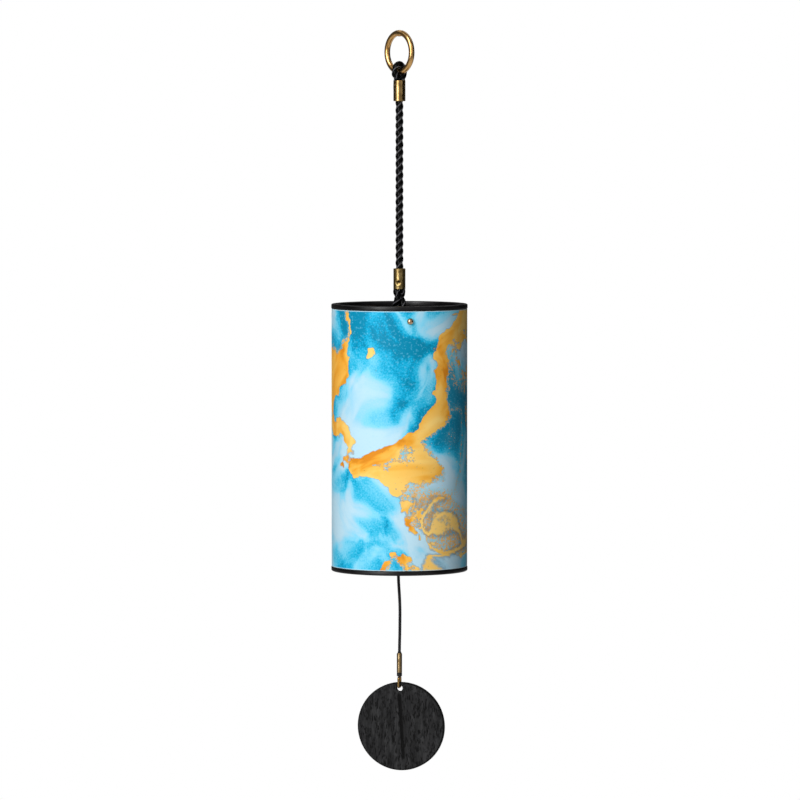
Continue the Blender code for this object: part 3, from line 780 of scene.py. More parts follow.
    def dress(self, **feeds: object) -> None:
        """Feed the main shader's inputs.

        Args:
            feeds: What each gets, with underscores for the spaces in its name and a string for a colour.
        """
        for key, value in feeds.items():
            if isinstance(value, str):
                value = screen_colour(value)
            self.feed(self.shader.inputs[key.replace("_", " ")], value)

    def glow(self, level: float) -> Value:
        """Shader of an even grey that needs no light, white at 1."""
        return self.value("Emission", {"Color": WHITE, "Strength": level})

    def mix(self, share: Value, first: Value, second: Value) -> Value:
        """Mix two shaders by the share of the second."""
        return self.value("MixShader", {0: share, 1: first, 2: second})

    def surface(self, shader: Value) -> None:
        """Send a shader to the output."""
        output = next(node for node in self.tree.nodes if node.name.endswith("Output"))
        self.feed(output.inputs["Surface"], shader)


class Finish:
    """A finish, painted in the nodes of a material."""

    def material(self, name: str) -> bpy.types.Material:
        """Build the finish as a material.

        Args:
            name: The material's name.

        Returns:
            The material.
        """
        graph = Graph(bpy.data.materials.new(name))
        self.paint(graph)
        return graph.owner

    def paint(self, graph: Graph) -> None:
        """Add the finish's own nodes to a material's graph."""
        raise NotImplementedError(type(self).__name__)


@dataclass(frozen=True)
class AgedBrass(Finish):
    """Brass darkened by age and handling."""

    bright: str = "d0a868"
    worn: str = "b28a4c"
    dark: str = "74532a"
    patch: float = 380.0
    pits: float = 2400.0
    scratches: float = 5200.0
    rough: float = 0.24
    turn: float = 0.0
    lacquer: float = 0.0
    lacquer_ior: float = 1.5
    lacquer_rough: float = 0.14
    relief: Pair = (0.008 * MM, 0.5)

    def paint(self, graph: Graph) -> None:
        """Add patches of patina, small pits, fine scratches and a lacquer coat.

        Args:
            graph: The nodes.
        """
        where = graph.place()
        patch = graph.noise(where, self.patch, 5.0, 0.62)
        colour = graph.ramp(patch, (0.38, 0.56, 0.78), (self.bright, self.worn, self.dark))
        pits = graph.noise(where, self.pits, 3.0, 0.6)
        colour = graph.blend(graph.rise(pits, 0.62, 0.76, 0.0, 0.45), colour, self.dark)
        scratches = graph.noise(graph.place(scale=(1.0, 1.0, 0.12), turn=self.turn), self.scratches)
        rough = graph.rise(patch, 0.35, 0.68, self.rough - 0.05, self.rough + 0.07)
        graph.dress(Base_Color=colour, Metallic=1.0, Roughness=rough)
        graph.dress(Coat_Weight=self.lacquer, Coat_Roughness=self.lacquer_rough, Coat_IOR=self.lacquer_ior)
        graph.relief(pits * -0.7 + scratches * 0.5, *self.relief)


@dataclass(frozen=True)
class BrushedPlate(Finish):
    """Turned brass plate with heat colours where the rods are brazed in."""

    bright: str = "d8b468"
    groove: str = "b58f48"
    straw: str = "b27a34"
    plum: str = "6f4a52"
    rods: int = 8
    circle_radius: float = 20.5 * MM
    grooves: float = 5200.0
    heat_reach: float = 7.0 * MM
    rough: Pair = (0.24, 0.36)
    relief: Pair = (0.012 * MM, 0.7)

    def paint(self, graph: Graph) -> None:
        """Add turning marks round the axis and rings of heat round each rod.

        Args:
            graph: The nodes.
        """
        angle, radius, _ = graph.polar()
        marks = graph.noise(graph.vector(radius, angle * 0.0004), self.grooves, 3.0)
        sector = math.tau / self.rods
        folded = angle % sector - sector / 2
        ahead = radius * graph.math("COSINE", folded) - self.circle_radius
        far = graph.length(ahead, radius * graph.math("SINE", folded))
        far += graph.noise(graph.place(), 420.0, 3.0) * (1.6 * MM)
        colour = graph.blend(marks, self.bright, self.groove)
        tints = (self.plum, self.straw, self.bright)
        heat = graph.ramp(far * (1.0 / self.heat_reach), (0.34, 0.50, 0.72), tints)
        colour = graph.blend(graph.rise(far, 2.4 * MM, 5.2 * MM, 0.9, 0.0), colour, heat)
        graph.dress(Base_Color=colour, Metallic=1.0, Roughness=graph.rise(marks, 0.3, 0.7, *self.rough))
        graph.relief(marks, *self.relief)


@dataclass(frozen=True)
class DrawnSteel(Finish):
    """Drawn steel with marks along its length and heat colours above its brazed foot."""

    bright: str = "cfcfcb"
    shade: str = "a3a39f"
    straw: str = "a8864e"
    blue: str = "5c6076"
    foot: float = -1.0
    marks: float = 6200.0
    heat_reach: float = 10.0 * MM
    rough: Pair = (0.16, 0.30)
    relief: Pair = (0.008 * MM, 0.6)

    def paint(self, graph: Graph) -> None:
        """Add the drawing marks and the heat above the foot's height.

        Args:
            graph: The nodes.
        """
        marks = graph.noise(graph.place(scale=(1.0, 1.0, 0.02)), self.marks, 3.0, 0.6)
        cloud = graph.noise(graph.place(), 240.0, 4.0, 0.55)
        colour = graph.blend(marks, self.bright, self.shade)
        _, _, height = graph.split(graph.place())
        far = height - self.foot + cloud * (2.0 * MM)
        tints = (self.blue, self.straw, self.bright)
        heat = graph.ramp(far * (1.0 / self.heat_reach), (0.15, 0.34, 0.6), tints)
        colour = graph.blend(graph.rise(far, 2.0 * MM, 7.0 * MM, 0.85, 0.0), colour, heat)
        graph.dress(Base_Color=colour, Metallic=1.0, Roughness=graph.rise(cloud, 0.3, 0.7, *self.rough))
        graph.relief(marks, *self.relief)


@dataclass(frozen=True)
class TwistedFibre(Finish):
    """Black cord fibre, with painted shade in the hollows between strands and a painted highlight along the
    crown of each strand.
    """

    # hollow is painted shade between the strands, glint the painted highlight on their crowns.
    hollow: str = "020202"
    crown: str = "060607"
    glint: str = "545357"
    fibres: float = 46.0
    shine: float = 0.10
    rough: Pair = (0.17, 0.27)
    relief: Pair = (0.008 * MM, 0.6)

    def paint(self, graph: Graph) -> None:
        """Add fibres along the cord's own map, and by the crown attribute painted shade in the hollows and a
        painted highlight on the crowns.
        """
        lay = graph.value("UVMap", uv_map="lay")
        fibre = graph.noise(graph.mapped(lay, (self.fibres, 5.0, 1.0)), 1.0, 4.0, 0.65)
        crown = graph.value("Attribute", output="Fac", attribute_name="crown")
        # Painted shade: the hollows between strands are painted darker than the crowns.
        colour = graph.blend(graph.rise(crown, 0.15, 0.85), self.hollow, self.crown)
        # Painted highlight: a lighter grey line along each strand's crown, broken by the fibres.
        worn = graph.rise(crown, 0.95, 1.0) * graph.rise(fibre, 0.34, 0.52, 0.35, 1.0)
        colour = graph.blend(worn, colour, self.glint)
        rough = graph.rise(fibre, 0.3, 0.7, *self.rough)
        graph.dress(Base_Color=colour, Roughness=rough, Specular_IOR_Level=self.shine)
        graph.relief(fibre, *self.relief)


@dataclass(frozen=True)
class SatinTrim(Finish):
    """Black edge trim with a fine grain and cloudy wear."""

    deep: str = "060506"
    worn: str = "121013"
    grain: float = 3100.0
    shine: float = 0.40
    rough: Pair = (0.28, 0.40)
    relief: Pair = (0.03 * MM, 0.6)

    def paint(self, graph: Graph) -> None:
        """Add the clouds and the grain.

        Args:
            graph: The nodes.
        """
        where = graph.place()
        cloud = graph.noise(where, 130.0, 4.0, 0.6)
        colour = graph.blend(graph.rise(cloud, 0.45, 0.75, 0.0, 0.8), self.deep, self.worn)
        rough = graph.rise(cloud, 0.3, 0.7, *self.rough)
        graph.dress(Base_Color=colour, Roughness=rough, Specular_IOR_Level=self.shine)
        graph.relief(graph.noise(where, self.grain, 3.0, 0.6), *self.relief)


@dataclass(frozen=True)
class BoardWall(Finish):
    """Black wound board: a helical butt line and a faint paper grain."""

    face: str = "070708"
    line: str = "020202"
    pitch: float = 58.0 * MM
    line_share: float = 0.006
    rough: Pair = (0.34, 0.52)
    relief: Pair = (0.12 * MM, 0.8)

    def paint(self, graph: Graph) -> None:
        """Add the butt line and the grain.

        Args:
            graph: The nodes.
        """
        angle, _, height = graph.polar()
        turns = angle / math.tau + height / self.pitch
        butt = graph.rise(abs(graph.math("FRACT", turns) - 0.5), 0.0, self.line_share)
        grain = graph.noise(graph.place(), 1500.0, 4.0, 0.6)
        colour = graph.blend(butt, self.line, self.face)
        graph.dress(Base_Color=colour, Roughness=graph.rise(grain, 0.3, 0.7, *self.rough))
        graph.relief(butt + grain * 0.25, *self.relief)


@dataclass(frozen=True)
class MarbledSheet(Finish):
    """Marbled paper of no maker's own: washes of blue with gold that has run and crumbled.

    The pattern is drawn on the unrolled sheet, from one edge of its lap to the other, in units of
    its own. Places there are read plain (flat), carried off in sweeps (drift), and in curls as
    well (curl).
    """

    low: float
    high: float
    radius: float
    seam_angle: float
    unit: float = 100.0 * MM
    blues: tuple[str, ...] = ("0488ae", "04a8d6", "36bfe6", "80d8f6", "a8dcf3", "bee2f3")
    blue_stops: tuple[float, ...] = (0.435, 0.462, 0.487, 0.518, 0.548, 0.578)
    golds: tuple[str, ...] = ("e08c22", "f4a936", "fbc054", "ffd67a")
    gold_stops: tuple[float, ...] = (0.38, 0.44, 0.52, 0.64)
    frost: str = "6fcdea"
    crumb: str = "ecb868"
    haze: str = "74bccb"
    lacing: str = "0c5c80"
    fleck: str = "6b5226"
    # Colour of the bare paper edge, lightened as a painted highlight along it.
    paper: str = "cdeaf5"
    # Painted shade: the washes run deeper towards this angle round the tube and paler opposite, by up to the
    # amount below.
    side_shade_angle: float = math.radians(85)
    side_shade: float = 0.046
    granular: float = 0.14
    frosted: float = 0.42
    scallop: float = 0.09
    torn: Pair = (0.02, 0.07)
    vein_spacing: float = 0.045
    shine: float = 0.12
    rough: Pair = (0.40, 0.52)
    relief: Pair = (0.02 * MM, 0.5)

    def wash(self, graph: Graph, angle: Value, flat: Value, curl: Value) -> Value:
        """Colour the blue washes: granular where they are strong, clear where they are thin, deeper towards
        one side of the tube as painted shade and paler opposite.

        Args:
            graph: The nodes.
            angle: Angle round the tube.
            flat: Plain place on the sheet.
            curl: The same place, carried off in curls.

        Returns:
            The colour.
        """
        # Painted shade: deeper blue towards one side of the tube, paler on the other.
        side_shade = (graph.math("COSINE", angle - self.side_shade_angle) - 0.2) * self.side_shade
        depth = graph.noise(curl, 1.9, 4.0) - side_shade
        strong = graph.rise(depth, 0.46, 0.54, 1.0, 0.24)
        grains = (graph.noise(flat, 120.0, 3.0, 0.72) - 0.5) * (strong * self.granular)
        colour = graph.ramp(depth + grains, self.blue_stops, self.blues)
        frost = graph.noise(graph.mapped(flat, shift=(2.2, 5.1, 0.4)), 80.0, 3.0, 0.65)
        frost = graph.rise(frost, 0.54, 0.66)
        return graph.blend(frost * (strong * self.frosted), colour, self.frost)

    def gold_edge(self, graph: Graph, flat: Value, drift: Value, curl: Value) -> tuple[Value, Value]:
        """Find how far a place is from the gold's edge.

        Args:
            graph: The nodes.
            flat: Plain place on the sheet.
            drift: The same place, carried off in sweeps.
            curl: The same, in curls as well.

        Returns:
            The distance, below 0 in the gold, and whether the gold crumbles there.
        """
        rivers = graph.noise(graph.mapped(curl, shift=(4.3, 1.7, 0.9)), 1.35)
        pools = graph.noise(graph.mapped(drift, shift=(9.1, 6.2, 2.2)), 1.6)
        away = abs(rivers - 0.5) - graph.rise(pools, 0.42, 0.66, 0.008, 0.09)
        crumbling = graph.rise(rivers, 0.495, 0.505)
        scallop = (graph.noise(flat, 19.0, 1.5) - 0.5) * self.scallop
        ragged = graph.noise(flat, 52.0, 4.0, 0.7) - 0.5
        clean, loose = self.torn
        edge = away + (scallop + ragged * (crumbling * loose + clean))
        veins = graph.noise(graph.mapped(curl, shift=(3.3, 8.8, 5.0)), 1.1, 1.5)
        zones = graph.noise(graph.mapped(flat, shift=(6.1, 2.9, 7.0)), 1.5, 1.0)
        veins = graph.math("PINGPONG", veins, self.vein_spacing) + graph.rise(zones, 0.51, 0.57, 0.02, -0.004)
        return graph.math("MINIMUM", edge, veins + ragged * 0.01), crumbling

    def paint(self, graph: Graph) -> None:
        """Add the washes, the gold with its crumbs and lacing, and the bare cut edges with a painted
        highlight along them.

        Args:
            graph: The nodes.
        """
        angle, _, height = graph.polar(self.seam_angle + math.pi)
        flat = graph.vector(angle * (self.radius / self.unit), height / self.unit)
        drift = graph.warp(flat, 1.7, 0.85)
        curl = graph.warp(drift, 6.5, 0.13, 3.0)
        colour = self.wash(graph, angle, flat, curl)
        edge, crumbling = self.gold_edge(graph, flat, drift, curl)
        gold = graph.ramp(graph.noise(curl, 4.0, 3.0, 0.6), self.gold_stops, self.golds)
        flecks = graph.noise(graph.mapped(flat, shift=(1.1, 0.3, 3.0)), 70.0, 3.0, 0.7)
        gold = graph.blend(graph.rise(flecks, 0.64, 0.70, 0.0, 0.5), gold, self.fleck)
        near = graph.rise(edge, 0.0, 0.05, 1.0, 0.0) * crumbling
        colour = graph.blend(near * 0.6, colour, self.haze)
        grit = graph.noise(graph.mapped(flat, shift=(7.7, 0.2, 1.3)), 105.0, 3.0, 0.75)
        crumbs = graph.rise(grit - graph.rise(edge, 0.0, 0.055, 0.47, 0.70), 0.0, 0.03)
        colour = graph.blend(crumbs * crumbling, colour, self.crumb)
        colour = graph.blend(graph.rise(edge, 0.0, 0.006, 0.45, 0.0), colour, self.lacing)
        colour = graph.blend(graph.rise(edge, -0.003, 0.001, 1.0, 0.0), colour, gold)
        inside = graph.math("MINIMUM", height - self.low, self.high - height)
        # Pale line along the top and bottom edges: the bare paper edge with a painted highlight on it.
        colour = graph.blend(graph.rise(inside, 0.10 * MM, 0.45 * MM, 0.8, 0.0), colour, self.paper)
        tooth = graph.noise(graph.place(), 2600.0, 3.0, 0.6)
        rough = graph.rise(tooth, 0.3, 0.7, *self.rough)
        graph.dress(Base_Color=colour, Roughness=rough, Specular_IOR_Level=self.shine)
        graph.relief(tooth, *self.relief)


@dataclass(frozen=True)
class PlainWood(Finish):
    """Turned beech with end-on growth lines and short pores."""

    pale: str = "d0a877"
    ring: str = "b4854f"
    pore: str = "7d5a33"
    shift: Triple = NOWHERE
    growth: float = 520.0
    pores: float = 3800.0
    rough: Pair = (0.46, 0.6)
    relief: Pair = (0.05 * MM, 0.7)

    def paint(self, graph: Graph) -> None:
        """Add the growth lines and the pores.

        Args:
            graph: The nodes.
        """
        where = graph.place(scale=(1.0, 0.22, 1.0), shift=self.shift)
        growth = graph.noise(graph.warp(where, 30.0, 0.006), self.growth, 3.0, 0.55)
        pores = graph.noise(graph.place(scale=(1.0, 0.10, 1.0)), self.pores)
        colour = graph.blend(graph.rise(growth, 0.38, 0.64), self.pale, self.ring)
        colour = graph.blend(graph.rise(pores, 0.62, 0.72, 0.0, 0.6), colour, self.pore)
        graph.dress(Base_Color=colour, Roughness=graph.rise(growth, 0.3, 0.7, *self.rough))
        graph.relief(1.0 - graph.rise(pores, 0.6, 0.75), *self.relief)


@dataclass(frozen=True)
class StainedWood(Finish):
    """Black-stained wood whose open grain runs up and down, with a scored line on its front; the groove and
    the rim are painted dark as shade.

    Places are given as (across, height) in the board's own plane.

    Attributes:
        yaw: Direction of the face, as an angle about Z.
        half: Half of the board's thickness.
        radius: The board's radius.
        middle: The board's middle.
        foot: Lower end of the scored line.
        top: Its upper end.
        reach: Half of the line's width at the top.
    """

    yaw: float
    half: float
    radius: float
    middle: Pair
    foot: Pair
    top: Pair
    reach: float
    pale: str = "2d2d2e"
    face: str = "202021"
    mid: str = "131314"
    # The streak colour serves the grain's streaks and the painted shade in the groove and round the rim.
    streak_and_shade: str = "020202"
    shine: float = 0.18
    rough: Pair = (0.58, 0.8)
    relief: Pair = (0.10 * MM, 0.8)

    def scored(self, graph: Graph, where: Value) -> Value:
        """Find the scored line, broken at its edges as by torn fibre, which takes painted shade in the
        groove.

        Args:
            graph: The nodes.
            where: The place.

        Returns:
            The line's share there.
        """
        across, ahead, height = graph.split(where)
        (foot_across, foot), (top_across, top) = self.foot, self.top
        slope = (top_across - foot_across) / (top - foot)
        line = height * slope + (foot_across - slope * foot)
        torn = graph.noise(graph.mapped(where, (1.0, 1.0, 0.35)), 1500.0, 3.0) - 0.5
        off = abs(across - line) + torn * (0.7 * self.reach)
        width = graph.rise(height, foot, top) * (0.35 * self.reach) + 0.65 * self.reach
        inside = graph.rise(off / width, 0.75, 1.05, 1.0, 0.0)
        front = graph.rise(ahead, -0.5 * self.half, -0.4 * self.half, 1.0, 0.0)
        above = graph.rise(height, foot, foot + 1.2 * MM)
        return inside * front * (above * graph.rise(height, top - 0.3 * MM, top, 1.0, 0.0))

    def rim(self, graph: Graph, where: Value) -> Value:
        """Find the band round the edge that is painted dark as shade.

        Args:
            graph: The nodes.
            where: The place.

        Returns:
            The edge's share there.
        """
        across, _, height = graph.split(where)
        distance = graph.length(across - self.middle[0], height - self.middle[1])
        return graph.rise(distance, self.radius - 0.75 * MM, self.radius - 0.3 * MM)

    def paint(self, graph: Graph) -> None:
        """Add the grain, and painted shade in the scored line and round the edge.

        Args:
            graph: The nodes.
        """
        where = graph.place(turn=self.yaw)
        bent = graph.warp(where, 90.0, 0.0014)
        upright = graph.mapped(bent, (1.0, 1.0, 0.13))
        broad, fine = graph.noise(upright, 560.0, 4.0, 0.62), graph.noise(upright, 3000.0, 3.0, 0.6)
        breaks = graph.noise(graph.mapped(bent, (1.0, 1.0, 0.5)), 620.0, 3.0)
        dark = graph.rise(fine, 0.49, 0.56) * graph.rise(breaks, 0.45, 0.52)
        # Painted shade: the groove and the rim join the grain's dark streaks.
        for mark in (self.scored(graph, where), self.rim(graph, where)):
            dark = graph.math("MAXIMUM", dark, mark)
        colour = graph.ramp(broad, (0.36, 0.47, 0.62), (self.pale, self.face, self.mid))
        colour = graph.blend(dark, colour, self.streak_and_shade)
        rough = graph.rise(dark, 0.0, 1.0, *self.rough)
        graph.dress(Base_Color=colour, Roughness=rough, Specular_IOR_Level=self.shine)
        graph.relief(broad - dark * 0.8, *self.relief)


# Sub-assemblies, from the top down


@dataclass
class HangingRing:
    """The bent wire ring that hangs on a hook."""

    outer_diameter: float = 20.2 * MM
    wire_diameter: float = 2.62 * MM
    segments: tuple[int, int] = (200, 32)
    weld_bump: float = 0.34 * MM
    weld_width: float = math.radians(9)
    weld_line: float = math.radians(1.2)
    weld_line_depth: float = 0.04
    uneven: float = 0.008
    uneven_scale: float = 260.0
    # Lighter brass than the ferrules': painted light for the brighter ring.
    brass: AgedBrass = AgedBrass("f0c078", "d8a45c", "94703c", patch=240.0, turn=RING_YAW, lacquer=0.7)

    def build(self) -> None:
        """Form the ring, with the small swelling where its wire's ends are welded."""
        wire = self.wire_diameter / 2
        run = self.outer_diameter / 2 - wire
        around, section_points = self.segments
        deselect()
        bpy.ops.mesh.primitive_torus_add(
            major_radius=run, minor_radius=wire, major_segments=around, minor_segments=section_points,
        )
        ring = bpy.context.object

        def swell(corner: Vector) -> Vector:
            """Leave a bump on the inner side at the weld, and make the wire a little uneven.

            Args:
                corner: A vertex's place.

            Returns:
                Its new place.
            """
            outwards = level_direction(math.atan2(corner.y, corner.x))
            section = corner - outwards * run
            off = abs(math.atan2(corner.y, corner.x) - math.pi / 2)
            inner = max(0.0, -section.dot(outwards) / wire)
            bump = self.weld_bump * inner * math.exp(-(off / self.weld_width) ** 4)
            line = 1.0 - self.weld_line_depth * math.exp(-(off / self.weld_line) ** 2)
            uneven = 1.0 + self.uneven * noise.noise(corner * self.uneven_scale)
            return outwards * (run - bump) + section * line * uneven

        reshape(ring, swell)
        ring.rotation_euler = (math.pi / 2, 0.0, RING_YAW)
        ring.location = UP * (span("hanging_ring")[0] + self.outer_diameter / 2)
        settle(ring, "ring_of_wire", 60.0)
        install(ring, self.brass.material("ring_brass"), Slot.BRASS, Body.RING, "hanging_ring")


@dataclass
class Suspension:
    """The rope between the ring and the cross pin, with its two eyes and ferrules."""

    rope_diameter: float = 3.3 * MM
    rope_fullness: float = 1.10
    rope_inserts: Pair = (2.6 * MM, 3.0 * MM)
    rope_bend: Pair = (1.2 * MM, -2.2 * MM)
    ring_wire: float = 2.5 * MM
    upper_eye_diameter: float = 3.3 * MM
    upper_loop: Pair = (2.55 * MM, 3.18 * MM)
    upper_legs: tuple[Triple, ...] = (
        (2.2 * MM, 1.52 * MM, 0.0), (3.0 * MM, 1.44 * MM, 0.0), (3.5 * MM, 1.28 * MM, 0.0),
    )
    upper_crest: float = 1.15
    lower_eye_diameter: float = 3.0 * MM
    lower_leg_share: float = 1.08
    lower_loop: Pair = (2.35 * MM, 2.35 * MM)
    lower_legs: tuple[Triple, ...] = (
        (3.4 * MM, 1.6 * MM, 0.0), (5.6 * MM, 1.62 * MM, -4.0), (7.4 * MM, 1.5 * MM, -20.0),
        (8.8 * MM, 1.34 * MM, -42.0), (10.0 * MM, 1.28 * MM, -50.0), (11.2 * MM, 1.36 * MM, -34.0),
        (12.2 * MM, 1.38 * MM, -14.0), (12.9 * MM, 1.22 * MM, -6.0),
    )
    eye_insert: float = 2.0 * MM
    knot_spacing: float = 0.16 * MM
    ferrule_diameter: float = 5.45 * MM
    ferrule_wall: float = 0.675 * MM
    ferrule_edge: float = 0.24 * MM
    ferrule_rows: int = 44
    uneven: float = 0.014 * MM
    uneven_scale: float = 420.0
    dimple_radius: float = 1.15 * MM
    dimple_depth: float = 0.42 * MM
    dimple_rim: float = 0.05 * MM
    dimple_above_end: float = 2.9 * MM
    upper_dimple_yaw: float = math.radians(-160)
    lower_dimple_yaw: float = math.radians(-110)
    # Darker brass than the ring's: painted shade on the ferrule under the ring.
    upper_brass: AgedBrass = AgedBrass("c4a062", "a07e44", "604622", rough=0.18, lacquer=0.8)
    # Darker and duller brass still: painted shade on the ferrule over the tube.
    lower_brass: AgedBrass = AgedBrass("b49c66", "8c7442", "584624", rough=0.33, lacquer=0.3)

    @property
    def bore_radius(self) -> float:
        """Radius of a ferrule's bore."""
        return self.ferrule_diameter / 2 - self.ferrule_wall

    def ferrule(
        self, name: str, node: str, yaw: float, dimple_z: float, body: Body, finish: AgedBrass
    ) -> Part:
        """Turn a sleeve, roll its ends in and press in the punch's dimple.

        Args:
            name: The piece's name.
            node: The CAD node it stands for.
            yaw: Which way the dimple faces.
            dimple_z: Height of the dimple.
            body: The body it rides on.
            finish: Its brass.

        Returns:
            The ferrule.
        """
        low, high = span(node)
        outer, bore, edge = self.ferrule_diameter / 2, self.bore_radius, self.ferrule_edge
        step = (high - low - 2 * edge) / self.ferrule_rows
        outline = [(bore, low + edge)]
        outline += arc((bore + edge, low + edge), edge, 180, 270, 3)[1:]
        outline += arc((outer - edge, low + edge), edge, -90, 0, 4)
        outline += [(outer, low + edge + step * i) for i in range(1, self.ferrule_rows)]
        outline += arc((outer - edge, high - edge), edge, 0, 90, 4)
        outline += arc((bore + edge, high - edge), edge, 90, 180, 3)
        sleeve = turned(name, outline, 72)
        spot = level_direction(yaw) * outer + UP * dimple_z

        def press(corner: Vector) -> Vector:
            """Push the wall in at the dimple and let the rest be slightly uneven.

            Args:
                corner: A vertex's place.

            Returns:
                Its new place.
            """
            radial = Vector((corner.x, corner.y, 0.0))
            if radial.length < outer - 0.3 * MM:
                return corner
            away = (corner - spot).length / self.dimple_radius
            sink = self.dimple_depth * max(0.0, 1.0 - away ** 2) ** 1.2
            rim = self.dimple_rim * math.exp(-((away - 1.15) / 0.25) ** 2)
            uneven = self.uneven * noise.noise(corner * self.uneven_scale)
            return corner + radial.normalized() * (rim + uneven - sink)

        reshape(sleeve, press)
        return install(sleeve, finish.material(name + "_brass"), Slot.BRASS, body, node)

    def tie(
        self, name: str, eye: Eye, bar_z: float, fibre: bpy.types.Material, body: Body, node: str
    ) -> None:
        """Lay one of the rope's eyes round its bar.

        Args:
            name: The piece's name.
            eye: Its shape.
            bar_z: Height of the bar's middle.
            fibre: The rope's finish.
            body: The body it rides on.
            node: The CAD node it stands for.
        """
        route = smooth_route(eye.knots((0.0, 0.0, bar_z)), self.knot_spacing)
        install(laid_cord(name, route, eye.diameter, EYE_LAY), fibre, Slot.ROPE, body, node)

    def build(self) -> None:
        """Make the rope's five pieces."""
        ring_foot = span("hanging_ring")[0] + self.ring_wire / 2
        upper_low, upper_high = span("upper_ferrule")
        lower_low, lower_high = span("lower_ferrule")
        pin_z = middle_of("cross_pin")
        fibre = TwistedFibre().material("rope_fibre")
        square_to_ring = level_direction(RING_YAW + math.pi / 2)
        eye = Eye(
            square_to_ring, self.upper_loop, ring_foot - upper_high, self.eye_insert,
            self.upper_eye_diameter, self.bore_radius, self.upper_legs, crest=self.upper_crest,
        )
        self.tie("rope_eye_on_ring", eye, ring_foot, fibre, Body.HANGER, "upper_rope_eye")
        self.ferrule(
            "ferrule_under_ring", "upper_ferrule", self.upper_dimple_yaw, upper_high - self.dimple_above_end,
            Body.HANGER, self.upper_brass,
        )
        lower_ferrule = self.ferrule(
            "ferrule_over_tube", "lower_ferrule", self.lower_dimple_yaw, lower_low + self.dimple_above_end,
            Body.LOWER_HANGER, self.lower_brass,
        )
        eye = Eye(
            RIGHT, self.lower_loop, lower_low - pin_z, self.eye_insert, self.lower_eye_diameter,
            self.bore_radius, self.lower_legs, upwards=True, leg_share=self.lower_leg_share,
        )
        self.tie("rope_eye_on_pin", eye, pin_z, fibre, Body.LOWER_HANGER, "lower_rope_eye")

        top, foot = upper_low + self.rope_inserts[0], lower_high - self.rope_inserts[1]
        route = smooth_route([plumb_knot(top), plumb_knot(foot)], 0.15 * MM)
        rope = laid_cord("rope_between_ferrules", route, self.rope_diameter * self.rope_fullness, ROPE_LAY)
        install(rope, fibre, Slot.ROPE, None, "suspension_rope")
        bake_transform(rope)
        centreline(route, 3.0 * MM)


